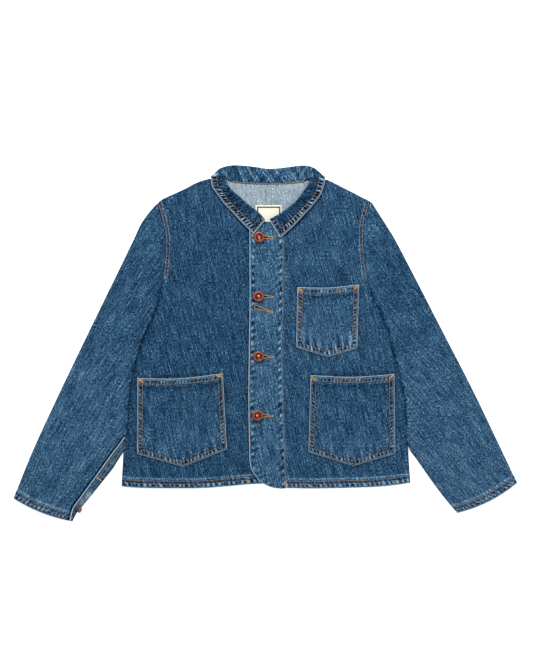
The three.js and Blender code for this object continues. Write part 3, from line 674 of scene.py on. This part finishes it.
def copper():
    made, tree, shader = material("copper", Metallic=0.12, Roughness=0.32, Specular_IOR_Level=0.35)
    tint_and_highlight = node(tree, "Attribute", attribute_name="tint_and_highlight").outputs["Fac"]
    # Dark copper, then copper, then the painted red-orange glint of the middle and its painted white
    # highlight
    colour = ramp(tree, tint_and_highlight, (0.0, (30, 14, 12)), (0.3, (84, 38, 26)), (0.55, (168, 92, 60)),
                  (0.75, (196, 44, 12)), (0.9, (214, 66, 22)), (1.0, (255, 236, 214)))
    tree.links.new(colour, shader.inputs["Base Color"])
    return made


MATERIALS = dict(denim=denim(), thread=thread(), label=label_cloth(), copper=copper())


def upward(line):
    return line[::-1]


def outer_edge(side):
    seam, underarm, cap = (upward(side[name]) for name in ("seam", "underarm", "cap"))
    return edge((seam, SEAM_END), (underarm, UNDERARM_END), (cap, 1))


def back(side):
    name = "back_left" if side is LEFT else "back_right"
    start = CENTRE + side["side"] * GAP / 2
    corner = side["seam"][-1]
    foot, top = (start, BACK_HEM_CENTRE), (start, BACK_NECK)
    neck = [top] + upward(side["backNeck"])[1:]
    hem = [foot, (corner[0] / 2, BACK_HEM_CENTRE + BACK_HEM_SIDE), corner]
    grid = patch(curve([foot, top]), outer_edge(side), curve(hem),
                 edge((neck, BACK_NECK_SHARE), (side["shoulder"], 1)),
                 shares(250, 14), shares(545, 10, 2.0, 3.0))
    far = reach(grid)
    felled = FELL_RISE * (1 - ease((far["inner"] - 11.2) / 0.8)) * (side is LEFT)
    seams = [("inner", 10, 0.35 * (side is LEFT), 0.0)]
    obj = panel(name, grid, neck_lift(grid), CLOTH + felled, far, seams, 3 + side["side"], (0.0, 1.0))
    return grid


def front(side):
    name = "front_left" if side is LEFT else "front_right"
    inner = edge((upward(side["centre"]), NECK_START), (upward(side["neck"]), 1))
    grid = patch(inner, outer_edge(side), curve(side["hem"]), curve(side["shoulder"]),
                 shares(230, 22, 1.5, 2.6), shares(560, 24, 1.5, 2.4))
    far = reach(grid)
    armhole = ease((grid[..., 1] - 95) / 30)
    hem = HEM_RISE * (1 - ease((far["bottom"] - HEM) / 1.2))
    fell = 0.45 * armhole * (1 - ease((far["outer"] - 9.5) / 1.5))
    # Each front lies under a part of the collar's outer edge
    if side is LEFT:
        facing, ridge, tone = 0.0, 0.15 * bell(far["inner"], 1.6, 1.3), 0.06
        collar_rim = COLLAR_STATIONS[16:, 6:8]
    else:
        up = np.linspace(0, 1, grid.shape[0])[:, None]
        facing, ridge, tone = CLOTH * (grid[..., 0] > -22) * (up < NECK_START), 0.0, 0.015
        collar_rim = COLLAR_STATIONS[:9, 6:8]
    seams = [("bottom", 8.6, 0.85, 0.6, 9), ("outer", 9, 0.2, 0.0), ("inner", 4, 0.3 * (side is LEFT), 0.1)]
    # Shadows under the collar, beside the pockets and beside the band
    shade = beside(grid, [collar_rim], 3.0, 0.3)
    for row in POCKETS.values():
        if row["side"] is side:
            corners = row["corners"]
            for a, b in zip(corners, corners[1:] + corners[:1]):
                shade = np.minimum(shade, beside(grid, [[a, b]], 3.2, 0.13))
    if side is RIGHT:
        shade = np.minimum(shade, beside(grid, [BAND_OUTER], 2.2, 0.12))
    # The hem and the armhole's felled edge are worn, and painted shade darkens the cloth along its outer edge
    # and beside the sleeve's fold, in the crease where the sleeve lies on it
    shade = shade + 0.38 * bell(far["bottom"], HEM - 2.4, 1.6) + 0.12 * (far["bottom"] < 7)
    shade = shade + 0.16 * bell(far["outer"], 9.0, 1.3) * armhole - 0.12 * bell(far["outer"], 0, 2.2)
    shade = shade + tone + beside(grid, [side["fold"][:10]], 5.0, 0.16) * (1 - armhole)
    thick = CLOTH + np.maximum(hem, facing) + ridge + fell
    obj = panel(name, grid, front_under(side, grid), thick, far, seams, 10 + side["side"], shade=shade,
                lean=1.1 * side["side"])
    return grid


def band():
    outer = edge((BAND_CORNER, CORNER_SHARE), (BAND_OUTER, 1))
    up = np.concatenate([np.linspace(0, CORNER_SHARE, 60), np.linspace(CORNER_SHARE, 1, 300)])
    grid = patch(curve(BAND_INNER), outer, curve([BAND_INNER[0], BAND_CORNER[0]]),
                 curve(BAND_NECK), shares(60, 12, 1.2, 2.2), np.unique(up))
    far = reach(grid)
    seams = [("outer", 9, 0.48, 1.4, 13), ("inner", 8, 0.5, 0.2, 14), ("bottom", 6, 0.2, 0.2)]
    # Painted shade in the groove where the outer row sinks into the band
    shade = 0.16 - 0.3 * bell(far["outer"], 3.2, 0.8)
    # Painted shadows of the buttons, a little below and to the right of each
    for x, y in BUTTONS:
        away = np.hypot(grid[..., 0] - x - 1, grid[..., 1] - y + 2.5)
        shade = shade - 0.2 * bell(np.maximum(away - BUTTON_RADIUS + 1, 0), 0, 3)
    thick = np.full(grid.shape[:2], BAND)
    obj = panel("front_left_band", grid, band_under(grid), thick, far, seams, 21, shade=shade)
    return grid


def pocket(name, seed):
    side, dip, pucker = (POCKETS[name][column] for column in ("side", "dip", "pucker"))
    tl, tr, br, point, bl = POCKETS[name]["corners"]
    middle = (point[0] - bl[0]) / (br[0] - bl[0])
    top_middle = ((tl[0] + tr[0]) / 2, (tl[1] + tr[1]) / 2 - dip)
    width, height = tr[0] - tl[0], tl[1] - bl[1]
    across = np.unique(np.concatenate([shares(width, 15), [middle]]))
    grid = patch(curve([bl, tl]), curve([br, tr]), edge(([bl, point], middle), ([point, br], 1)),
                 curve([tl, top_middle, tr]), across, shares(height, 15, 1.4, 2.4))
    far = reach(grid)
    below = far["top"] - POCKET_TOP
    turned = HEM_RISE * 0.8 * (1 - ease(below / 1.2))
    seams = [("inner", 9.5, 0.5, 0.85), ("outer", 9.5, 0.5, 0.85), ("bottom", 10, 0.65, 0.7),
             ("top", 9, 0.45, 0.95)]
    # A painted shadow under the turned top that fades to lighter cloth lower down, and a wavy pale line under
    # the top
    shadow = 0.2 * np.exp(-np.abs(below - 3) / 7) * (below > 0.5)
    shade = 0.02 + 0.2 * pucker - shadow + 0.04 * ease((below - 60) / 50)
    shade = shade + 0.42 * bell(below, 1.6, 0.9) * (0.8 + 0.5 * ripple(far["inner"], below, 9, seed))
    # The stitches sink into the cloth, with painted shade in the grooves beside them
    for key in ("inner", "outer", "bottom"):
        for depth in POCKET_ROWS:
            shade = shade - 0.2 * bell(far[key], depth, 1.0)
    # Painted light and shade of puckers rising from the bottom, and of weaker ones from the sides
    near = np.exp(-(np.maximum(far["bottom"] - 10, 0) / 19) ** 1.5) * (far["bottom"] > 9)
    shade = shade + pucker * near * ripple(far["inner"], far["bottom"], 7.5, seed + 3, 0.12)
    for key in ("inner", "outer"):
        near = np.exp(-np.maximum(far[key] - 9, 0) / 6) * (far[key] > 8.5)
        shade = shade + 0.4 * pucker * near * ripple(far["bottom"], far[key], 16, seed + 5, 0.3)
    under = front_under(side, grid) + CLOTH + GAP
    obj = panel(name, grid, under, CLOTH + turned, far, seams, seed, shade=shade)
    return grid


# The middle of a sleeve's wall across one row, as distance from the inner edge and height
def sleeve_section(ride, fold, seam, tuck, width):
    half = CLOTH / 2
    edge_at = width - half - SLEEVE_EDGE
    top = half + 2 * SLEEVE_EDGE
    inner_top = ride + half + 2 * SLEEVE_TURN * fold
    turn_at = half + SLEEVE_TURN
    start = lerp(GAP - tuck, turn_at, fold)
    end_zone = lerp(min(EDGE_ZONE, edge_at / 2), turn_at, fold)
    settle = max(0, seam - SETTLE["past"])
    crown = SLEEVE_CROWN * ease(width / CROWN_WIDTH)

    def height(s):
        middle = np.sin(np.pi * np.clip((s - start) / (edge_at - start), 0, 1)) ** 2
        return lerp(inner_top, top, ease((s - settle) / SETTLE["over"])) + crown * middle

    low = np.linspace(seam, edge_at, 22)
    turn = np.linspace(0, np.pi, 10)[1:-1]
    over = np.concatenate([edge_at - np.array([0, 1.2, 2.6, 4.2]), np.linspace(edge_at - 6, end_zone, 44)])
    flat = np.linspace(end_zone, start, 15)[1:]
    roll = np.linspace(0, np.pi, 8)[1:]
    end = seam - GAP
    step_at = end - SEAM_STEP["tuck"]
    tail = np.linspace(max(step_at, turn_at + 1), max(end, turn_at + SEAM_STEP["turn"]), 7)
    folded_s = np.concatenate([turn_at - SLEEVE_TURN * np.sin(roll), tail])
    folded_z = np.concatenate([inner_top - SLEEVE_TURN * (1 - np.cos(roll)),
                               half + ride * (1 - ease((tail - step_at) / SEAM_STEP["over"]))])
    s = np.concatenate([low, edge_at + SLEEVE_EDGE * np.sin(turn), over, lerp(flat, folded_s, fold)])
    z = np.concatenate([low * 0 + half, half + SLEEVE_EDGE * (1 - np.cos(turn)), height(over),
                        lerp(height(flat), folded_z, fold)])
    return s, z


# A sleeve's inner and outer edges at shares of its length
def sleeve_edges(side, at):
    return edge((side["cap"], CAP_END), (side["fold"], 1))(at), curve(side["outer"])(at)


def sleeve_place(side, at, s):
    inner, outer = sleeve_edges(side, at)
    width = norm(outer - inner, axis=-1)
    across = (outer - inner) / width[..., None]
    down = side["side"] * np.stack([across[..., 1], -across[..., 0]], -1)
    bow = side["bow"] * ease((at - BOW_START) / (1 - BOW_START))
    t = np.clip(s / width, 0, 1)
    return inner + across * s[..., None] + down * (4 * bow * t * (1 - t))[..., None]


def sleeve(side, seed):
    name = "sleeve_left" if side is LEFT else "sleeve_right"
    at = shares(560, 20, 1.6, 2.4)[2:]
    inner, outer = sleeve_edges(side, at)
    width = norm(outer - inner, axis=-1)
    ride, fold, seam = (np.interp(at, side["sleeve"][:, 0], side["sleeve"][:, k]) for k in (1, 2, 3))
    # The edge of the top layer is tucked into its seam with the body
    tuck = 0.8 * (1 + ease((at - CAP_END) / 0.01)) * ease(seam / 0.3)
    sections = [sleeve_section(*row) for row in zip(ride, ease(fold), seam, tuck, width)]
    s, z = (np.array(part) for part in zip(*sections))
    ds, dz = np.gradient(s, axis=1), np.gradient(z, axis=1)
    length = np.hypot(ds, dz) + 1e-9
    normal_s, normal_z = dz / length, -ds / length
    t = np.broadcast_to(at[:, None], s.shape)
    run = reach(sleeve_place(side, t, s))
    along, left = run["bottom"], run["top"]
    facing = np.clip(normal_z, 0, 1) * (z > 2 * CLOTH)
    hem = HEM_RISE * (1 - ease((left - CUFF_HEM) / 1.2)) * facing
    far = dict(inner=s, outer=width[:, None] - s, bottom=left, top=along)
    marks = seam_marks(far, [("bottom", 8, 0.8, 0.6, 8)], seed, 2.0)
    marks["shade"] += 0.32 * bell(left, CUFF_HEM + 0.4, 1.3)
    streaks = mottle(s, along * 0.1, 7, seed) + mottle(s, along * 0.2, 22, seed + 1)
    marks["shade"] += 0.03 * streaks + 0.06 + 0.1 * ease((along - 150) / 350)
    # Painted shade in the crease where the folded edge lies on the body
    crease_shade_span = ease((at - CAP_END) / 0.02) * (1 - ease((at - 0.68) / 0.03))
    marks["shade"] -= 0.08 * crease_shade_span[:, None] * bell(s, 0.6, 1.5) * (z > 3)
    relief = 0.35 * mottle(s, along * 0.25, 26, seed + 2)
    relief = relief * ease((s - 12) / 20) * ease((far["outer"] - 8) / 20)
    z = z + relief * facing * ease(along / 40)
    half = CLOTH / 2
    out = half + hem + marks["lift"] * facing

    def face(offset):
        return lifted(sleeve_place(side, t, s + normal_s * offset), z + normal_z * offset)

    around = np.cumsum(length, axis=1)
    grain = np.stack([side["side"] * (around[:, [OUTER_EDGE]] - around), -along], -1)
    # Beside the vent the lower layer shows past the upper one, whose edge is worn nearly white
    vent = ((seam < 1.5) & (at > 0.6))[:, None]
    pale = 0.6 * ease((70 - left) / 8) * ease((left - 26) / 8) * ease((-5 - s) / 2)
    upper = vent & (z > 1.4)
    marks["rub"] = np.where(upper, 1.5 * bell(s, GAP + 0.3, 1.1), marks["rub"])
    # Painted shade in the gap where the upper layer rises behind its worn edge
    marks["shade"] -= 1.2 * upper * bell(s, 3.8, 1.4)
    strip = vent & (z < 1.4) & (s < -2)
    marks["shade"] -= 0.3 * strip * np.clip(ripple(along, s, 8, seed + 3), 0, 1)
    inside = np.where(vent & (s < 12), pale, 1.0)
    slope = 0.25 if side is LEFT else -0.12
    obj = shell(name, face(-half), face(out), grain, marks, (inside, 0.0), float(seed), slope)


def collar():
    last = len(COLLAR_STATIONS) - 1
    at = [0, 0.02, 0.05, *np.linspace(0.1, last - 0.1, 330), last - 0.05, last - 0.02, last]
    at = np.array(at)
    i = np.minimum(at.astype(int), last - 1)
    near = [COLLAR_STATIONS[np.clip(i + k, 0, last)] for k in (-1, 0, 1, 2)]
    rows = smooth((at - i)[:, None], *near)
    neck, roll, rim, turned = rows[:, 0:3], rows[:, 3:6], rows[:, 6:9], rows[:, 9:]
    away = (roll - rim) * (1, 1, 0)
    away /= norm(away, axis=1)[:, None]
    side = np.where(roll[:, 0] < CENTRE, 1, -1)
    sideways = np.stack([side * away[:, 1], -side * away[:, 0], 0 * side], -1)
    stand = sideways * np.sin(np.radians(turned)) + np.array([0, 0, -1]) * np.cos(np.radians(turned))

    def on_roll(phi):
        return roll + ROLL * (stand * np.cos(phi) + away * np.sin(phi))

    path = [lerp(neck, on_roll(0), t) for t in np.linspace(0, 1, 12)[:-1]]
    path += [on_roll(phi) for phi in np.linspace(0, np.pi, 11)]
    inner_part = len(path)
    path += [lerp(on_roll(np.pi), rim, t) for t in [*np.linspace(0, 0.93, 24)[1:], 0.96, 0.985, 1]]
    middle = np.stack(path, 1)
    normal = np.cross(np.gradient(middle, axis=0), np.gradient(middle, axis=1))
    normal /= norm(normal, axis=2)[..., None] + 1e-12
    far = reach(middle)
    run, out = far["inner"], far["outer"]
    along = run_along(middle[:, -1])[:, None] + 0 * out
    far.update(bottom=along, top=along[-1:] - along)
    ends = np.minimum(far["bottom"], far["top"])
    marks = seam_marks(far, [("outer", 11.5, 1.15, 1.2), ("bottom", 11, 0.5, 1.2), ("top", 11, 0.5, 1.2)], 31)
    leaf = np.arange(len(path))[None] < inner_part
    fall = (turned < 60) & ~leaf
    behind = (turned > 100) & leaf
    marks["shade"] -= np.where(fall, 0.14 * ease((out - 2.2) / 1) * (1 - 0.4 * ease((out - 11) / 3)), 0)
    # Wrinkles slant both ways behind the neck, and some cross the roll: they lift the cloth a little, and
    # their light and shade is painted into its colour, with thin pale lines along the creases
    broad = 0.5 * (ripple(along, run, 13, 77, 0.95) + ripple(along, run, 11, 78, -1.05))
    crease = bell(ripple(along, run, 9, 79, 0.8), 0, 0.13) + bell(ripple(along, run, 8, 80, -0.6), 0, 0.13)
    wrinkle = 0.7 * broad + 1.1 * crease - 0.4
    fold_over = bell(run, 24, 9)
    marks["shade"] = np.where(behind, 0.36 * wrinkle + 0.1, marks["shade"] + 0.22 * wrinkle * fold_over)
    marks["rub"] = np.where(ends < 3, np.maximum(marks["rub"], 0.9 * bell(ends, 0, 1.5)), marks["rub"])
    thick = COLLAR / 2 - rounding(np.minimum(out, ends))
    bumps = marks["lift"] + np.where(behind, 0.4 * wrinkle, 0.25 * wrinkle * fold_over)
    low, high = middle - normal * thick[..., None], middle + normal * (thick + bumps)[..., None]
    obj = shell("collar", low, high, np.stack([along, run], -1), marks, (0.0, 0.0), 31.0)
    return middle


def label():
    left, right, low, high = LABEL_BOX
    x, y = np.meshgrid(np.linspace(left, right, 98), np.linspace(low, high, 68))
    grid = np.stack([x, y], -1)
    under = neck_lift(grid) + CLOTH + FELL_RISE + LABEL_GAP
    points = np.vstack([lifted(grid, height).reshape(-1, 3) for height in (under, under + LABEL)])
    obj = solid("neck_label", points, wall_faces(*x.shape))
    # The frame's lower side lies nearer the label's edge than its other sides
    inside = np.minimum.reduce([x - left, right - x, y - low + 2.6, high - y])
    ink = (inside > LABEL_FRAME[0]) & (inside < LABEL_FRAME[1])
    paint(obj, "ink", [0 * inside, ink])
    dress(obj, "label", ["neck_label"])


# A button turned about Z: a ring of copper round a middle painted with a red-orange glint
def button(name, radius, foot, place, lean=0, heading=0):
    shank = [(0, 0, 0.1), (BUTTON_SHANK, 0, 0.1), (BUTTON_SHANK, foot, 0.1)]
    profile = np.vstack([shank, BUTTON_PROFILE * (radius, 1, 1) + (0, foot, 0)])
    sides = 48
    angle = np.linspace(0, 2 * np.pi, sides, endpoint=False)
    r, z, tint_and_highlight = (profile[:, [k]] for k in range(3))
    # Raised dots round the ring, which also add painted highlight and shade to its colour
    dots = bell(r / radius, 0.74, 0.12) * np.cos(angle * 10) * (z > foot + 1)
    points = np.stack([r * np.cos(angle), r * np.sin(angle), z + 0.16 * dots], -1)
    a, b = np.radians(lean), np.radians(heading)
    tilt = np.array([[np.cos(a), 0, np.sin(a)], [0, 1, 0], [-np.sin(a), 0, np.cos(a)]])
    spin = np.array([[np.cos(b), -np.sin(b), 0], [np.sin(b), np.cos(b), 0], [0, 0, 1]])
    points = points.reshape(-1, 3) @ (spin @ tilt).T + np.array(place)
    ids = np.arange(len(profile) * sides).reshape(len(profile), sides)
    following = np.roll(ids, -1, axis=1)
    faces = np.stack([ids[:-1], following[:-1], following[1:], ids[1:]], -1).reshape(-1, 4)
    obj = solid(name, points, faces)
    # A painted highlight on one side of the middle
    painted_highlight = 0.25 * bell(r / radius, 0.2, 0.1) * ease((np.cos(angle + radius * place[0]) - 0.5) / 0.4)
    paint(obj, "tint_and_highlight", tint_and_highlight + 0.2 * dots + painted_highlight)
    dress(obj, "copper", [name])


# A straight line's start, length, and the directions along it and across it
def axes_of(start, end):
    start, end = np.array(start, float), np.array(end, float)
    length = norm(end - start)
    away = (end - start) / length
    return start, length, away, np.array([-away[1], away[0]])


# Half the width of an open keyhole at some distance from its eye's middle
def keyhole_half(t, spread):
    return 0.35 + spread * (1 - ease((t - 5) / 15))


# The keyholes are cut through the band
def cut_keyholes():
    strip = bpy.data.objects["front_left_band_look"]
    cutters = []
    for eye_middle, end, spread in KEYHOLES:
        start, length, away, across = axes_of(eye_middle, end)
        t = np.linspace(KEYHOLE_EYE, length - 0.2, 24)
        turn = np.radians(np.linspace(50, 310, 16))
        eye = start + KEYHOLE_EYE * (np.cos(turn)[:, None] * away + np.sin(turn)[:, None] * across)
        slit, half = start + t[:, None] * away, keyhole_half(t, spread)[:, None] * across
        ring = np.vstack([eye, slit - half, (slit + half)[::-1]])
        n = len(ring)
        points = np.vstack([lifted(ring, np.full(n, z)) for z in CUTTER_ENDS])
        faces = [(i, (i + 1) % n, n + (i + 1) % n, n + i) for i in range(n)]
        faces += [tuple(range(n))[::-1], tuple(range(n, 2 * n))]
        cutters.append(add("cutter", mesh_from("cutter", points, faces)))
        cut = strip.modifiers.new("keyhole", "BOOLEAN")
        cut.operation = "DIFFERENCE"
        cut.object = cutters[-1]
    graph = bpy.context.evaluated_depsgraph_get()
    shaped = bpy.data.meshes.new_from_object(strip.evaluated_get(graph))
    uncut = KDTree(len(strip.data.vertices))
    for vertex in strip.data.vertices:
        uncut.insert(vertex.co, vertex.index)
    uncut.balance()
    nearest = [uncut.find(vertex.co)[1] for vertex in shaped.vertices]
    values = {name: read_field(strip, name)[nearest] for name in ("grain", "hem", "tone")}
    strip.modifiers.clear()
    strip.data = shaped
    for name, value in values.items():
        if name in shaped.attributes:
            shaped.attributes.remove(shaped.attributes[name])
        field(strip, name, value)
    for cutter in cutters:
        bpy.data.objects.remove(cutter)


grids = dict(back_left=back(LEFT), back_right=back(RIGHT), front_right=front(RIGHT), front_left=front(LEFT))
grids["band"] = band()
for number, pocket_name in enumerate(POCKETS):
    grids[pocket_name] = pocket(pocket_name, 41 + 7 * number)
sleeve(LEFT, 61)
sleeve(RIGHT, 71)
collar_middle = collar()
label()
for number, (x, y) in enumerate(BUTTONS):
    button(f"button_{number + 1}", BUTTON_RADIUS, BAND + GAP, (x, y, FRONT + PUFF + BAND + GAP))
button("button_cuff", **CUFF_BUTTON)
cut_keyholes()
bpy.context.view_layer.update()


# One search tree of all the cloth
def cloth_tree():
    points, faces = [], []
    for piece in bpy.context.scene.objects:
        if piece.name.endswith("_look") and not piece.name.startswith("button"):
            start = len(points)
            points += [tuple(vertex.co) for vertex in piece.data.vertices]
            faces += [[start + i for i in face.vertices] for face in piece.data.polygons]
    return BVHTree.FromPolygons(points, faces)


CLOTH_TREE = cloth_tree()


# The point of the cloth straight below each place, or straight above it
def on_cloth(places, under=False):
    from_height, way = (-0.05, 1) if under else (0.1, -1)
    found = []
    for x, y in (places - MIDDLE[:2]) * MM:
        hit = CLOTH_TREE.ray_cast(Vector((x, y, from_height)), Vector((0, 0, way)))[0]
        found.append(np.array(hit) / MM + MIDDLE if hit else np.full(3, np.nan))
    return np.array(found)


# Points at an even pitch along a line
def along_line(line, pitch):
    run = run_along(line)
    stops = np.linspace(0, run[-1], max(1, int(run[-1] / pitch)) + 1)
    return np.stack([np.interp(stops, run, line[:, k]) for k in range(2)], -1)


# Small rounded bars between pairs of points, each dipping into the cloth at its ends;
# pairs off the cloth or on two levels are left out
def bars(name, starts, ends, radius, up=1.0, sides=5):
    level = abs(ends[:, 2] - starts[:, 2]) < CLOTH
    starts, ends = starts[level], ends[level]
    away = ends - starts
    away /= norm(away, axis=1)[:, None] + 1e-9
    sideways = np.cross(away, (0, 0, up))
    sideways /= norm(sideways, axis=1)[:, None] + 1e-9
    normal = np.cross(sideways, away)
    profile = [(0.0, 0.45, -0.5), (0.14, 0.9, 0.15), (0.5, 1.0, 0.35), (0.86, 0.9, 0.15), (1.0, 0.45, -0.5)]
    angle = np.linspace(0, 2 * np.pi, sides, endpoint=False)[None, :, None]
    ring = sideways[:, None] * np.cos(angle) + normal[:, None] * np.sin(angle)
    rings = []
    for t, thick, height in profile:
        middle = lerp(starts, ends, t) + normal * (height * radius)
        rings.append(middle[:, None] + ring * radius * thick)
    points = np.stack(rings, 1)
    faces = []
    for k in range(0, (len(profile) - 1) * sides, sides):
        for j in range(sides):
            m = (j + 1) % sides
            faces.append((k + j, k + m, k + sides + m, k + sides + j))
    first = np.arange(len(starts)) * len(profile) * sides
    obj = solid(name, points.reshape(-1, 3), (np.array(faces) + first[:, None, None]).reshape(-1, 4))
    dress(obj, "thread")


# Rows of stitches, every one on the cloth
def sewing(name, lines, under=False, radius=THREAD):
    starts, ends = [], []
    for line in lines:
        stops = along_line(np.asarray(line, float), STITCH)
        starts.append(lerp(stops[:-1], stops[1:], 0.12))
        ends.append(lerp(stops[:-1], stops[1:], 0.84))
    starts, ends = np.vstack(starts), np.vstack(ends)
    bars(name, on_cloth(starts, under), on_cloth(ends, under), radius, -1.0 if under else 1.0)


def clip(line, keep):
    return line[keep(line)]


# Two rows round a pocket's sides and bottom, and two along its turned top
def pocket_rows(grid):
    made = []
    for depth in POCKET_ROWS:
        inner, outer, bottom = (inset(grid, name, depth) for name in ("inner", "outer", "bottom"))
        made.append(clip(inner, lambda p: p[:, 1] > bottom[0, 1]))
        made.append(clip(outer, lambda p: p[:, 1] > bottom[-1, 1]))
        made.append(clip(bottom, lambda p: (p[:, 0] > inner[0, 0]) & (p[:, 0] < outer[0, 0])))
    return made + [inset(grid, "top", depth, 0.02, 0.98) for depth in POCKET_TOP_ROWS]


# A row along the collar's edge, where its fall is seen, and across each end
def collar_rows(middle, depth):
    out = reach(middle)["outer"]
    line = []
    for points, far in zip(middle[:, ::-1, :2], out[:, ::-1]):
        line.append([np.interp(depth, far, points[:, k]) for k in range(2)])
    run = run_along(middle[:, -1, :2])
    kept = (run > depth) & (run < run[-1] - depth)
    line, seen = np.array(line)[kept], middle[kept, -1, 2] > 3.2
    half = len(line) // 2
    made = [line[:half][seen[:half]], line[half:][seen[half:]]]
    for end, further_in in ((0, 5), (-1, -6)):
        points, next_row = middle[end, :, :2], middle[further_in, :, :2]
        inward = (next_row - points) / norm(next_row - points, axis=1)[:, None]
        made.append((points + inward * depth)[-24:][out[end, -24:] > depth])
    return made


rows = []
for name, side, past_band in (("front_left", LEFT, 38), ("front_right", RIGHT, 31)):
    for depth in HEM_ROWS:
        rows.append(clip(inset(grids[name], "bottom", depth), lambda p: side["side"] * p[:, 0] > past_band))
    for depth in ARMHOLE_ROWS:
        rows.append(clip(inset(grids[name], "outer", depth), lambda p: p[:, 1] > ARMHOLE_FOOT))
for name in POCKETS:
    rows += pocket_rows(grids[name])
for side in (LEFT, RIGHT):
    for depth in CUFF_ROWS:
        at = np.full(60, 1 - depth / SLEEVE_LENGTH)
        width = norm(curve(side["outer"])(at[0]) - curve(side["fold"])(at[0]))
        rows.append(sleeve_place(side, at, np.linspace(2, width - 3, 60)))
vent_shares = np.linspace(*VENT, 60)
for depth in VENT_ROWS:
    rows.append(sleeve_place(RIGHT, vent_shares, depth * ease((vent_shares - 0.69) / 0.04)))
for depth in COLLAR_ROWS:
    rows += collar_rows(collar_middle, depth)
sewing("stitches", rows)

# Heavier rows along the back of the neck and down the felled seam inside it
heavy = [curve(NECK_ROW)(np.linspace(0, 1, 80))] + [[(x, FELL_TOP), (x, 256)] for x in FELL_ROWS]
sewing("stitches_heavy", heavy, radius=HEAVY_THREAD)

# Rows along the band that sink deep into its cloth
sunk = [inset(grids["band"], name, depth) for name, depth in BAND_ROWS.items()]
sewing("stitches_sunk", [clip(line, lambda p: p[:, 1] < BAND_ROW_TOP) for line in sunk], radius=SUNK_THREAD)

# The same seams from below
under = []
for name in ("back_left", "back_right"):
    for depth in HEM_ROWS:
        under.append(inset(grids[name], "bottom", depth))
    for depth in ARMHOLE_ROWS:
        under.append(clip(inset(grids[name], "outer", depth), lambda p: p[:, 1] > ARMHOLE_FOOT_UNDER))
under += [[(x, FELL_TOP), (x, FELL_FOOT)] for x in FELL_ROWS_UNDER]
sewing("stitches_under", under, True)


# A bartack: close stitches across a short line
def bartack(start, end, width=2.7):
    across = axes_of(start, end)[3] * width / 2
    stops = along_line(np.array([start, end], float), SATIN)
    return stops - across, stops + across


# A keyhole's edge, worked all round: bars out from the slit's sides, its eye and its end
def satin(eye_middle, end, spread):
    start, length, away, across = axes_of(eye_middle, end)
    stops = np.arange(KEYHOLE_EYE, length, SATIN)
    slit, half = start + stops[:, None] * away, keyhole_half(stops, spread)[:, None]
    turn = np.radians(np.arange(40, 325, 15))
    spokes = np.cos(turn)[:, None] * away + np.sin(turn)[:, None] * across
    tack = bartack(end - away * 2.2, end - away * 0.4, 3.4)
    sides = []
    for out, tack_side in zip((0.1, 1.5), tack):
        way = across * (half + out)
        sides.append(np.vstack([slit - way, slit + way, start + spokes * (KEYHOLE_EYE + out), tack_side]))
    return sides


pairs = [satin(*keyhole) for keyhole in KEYHOLES]
pairs += [bartack(start, np.add(start, way)) for start, way in BARTACKS]
low_ends, high_ends = (on_cloth(np.vstack(part)) for part in zip(*pairs))
bars("bartacks", low_ends, high_ends, TACK_THREAD)

# Floor, lights and camera
floor_mesh = bpy.data.meshes.new("floor")
corners = [(x, y, FLOOR_Z) for x, y in ((-FLOOR, -FLOOR), (FLOOR, -FLOOR), (FLOOR, FLOOR), (-FLOOR, FLOOR))]
floor_mesh.from_pydata(corners, [], [(0, 1, 2, 3)])
floor = add("floor", floor_mesh)
paper, _, paper_shader = material("paper", Roughness=1.0)
paper_shader.inputs["Base Color"].default_value = (0.9, 0.9, 0.9, 1)
paper_shader.inputs["Emission Color"].default_value = (1, 1, 1, 1)
paper_shader.inputs["Emission Strength"].default_value = 0.55
floor_mesh.materials.append(paper)


# A square lamp that shines at the coat
def area_light(name, energy, size, place):
    data = bpy.data.lights.new(name, "AREA")
    data.energy = energy
    data.shape = "SQUARE"
    data.size = size
    lamp = add(name, data)
    lamp.location = place
    lamp.rotation_mode = "QUATERNION"
    lamp.rotation_quaternion = (-Vector(place)).to_track_quat("-Z", "Y")
    lamp.visible_camera = False


area_light("key", 62, 1.0, (-0.5, 1.9, 1.7))
area_light("fill", 12, 1.6, (1.6, -0.8, 1.8))
world = bpy.data.worlds.new("studio")
bpy.context.scene.world = world
world.use_nodes = True
world.node_tree.nodes["Background"].inputs["Color"].default_value = (1, 1, 1, 1)
world.node_tree.nodes["Background"].inputs["Strength"].default_value = 0.42

camera_data = bpy.data.cameras.new("camera")
camera_data.lens = CAMERA_HEIGHT * camera_data.sensor_width / PICTURE_HEIGHT
camera = add("camera", camera_data)
camera.location = (*PICTURE_MIDDLE, CAMERA_HEIGHT + 0.005)
bpy.context.scene.camera = camera
bpy.context.scene.view_settings.view_transform = "Standard"
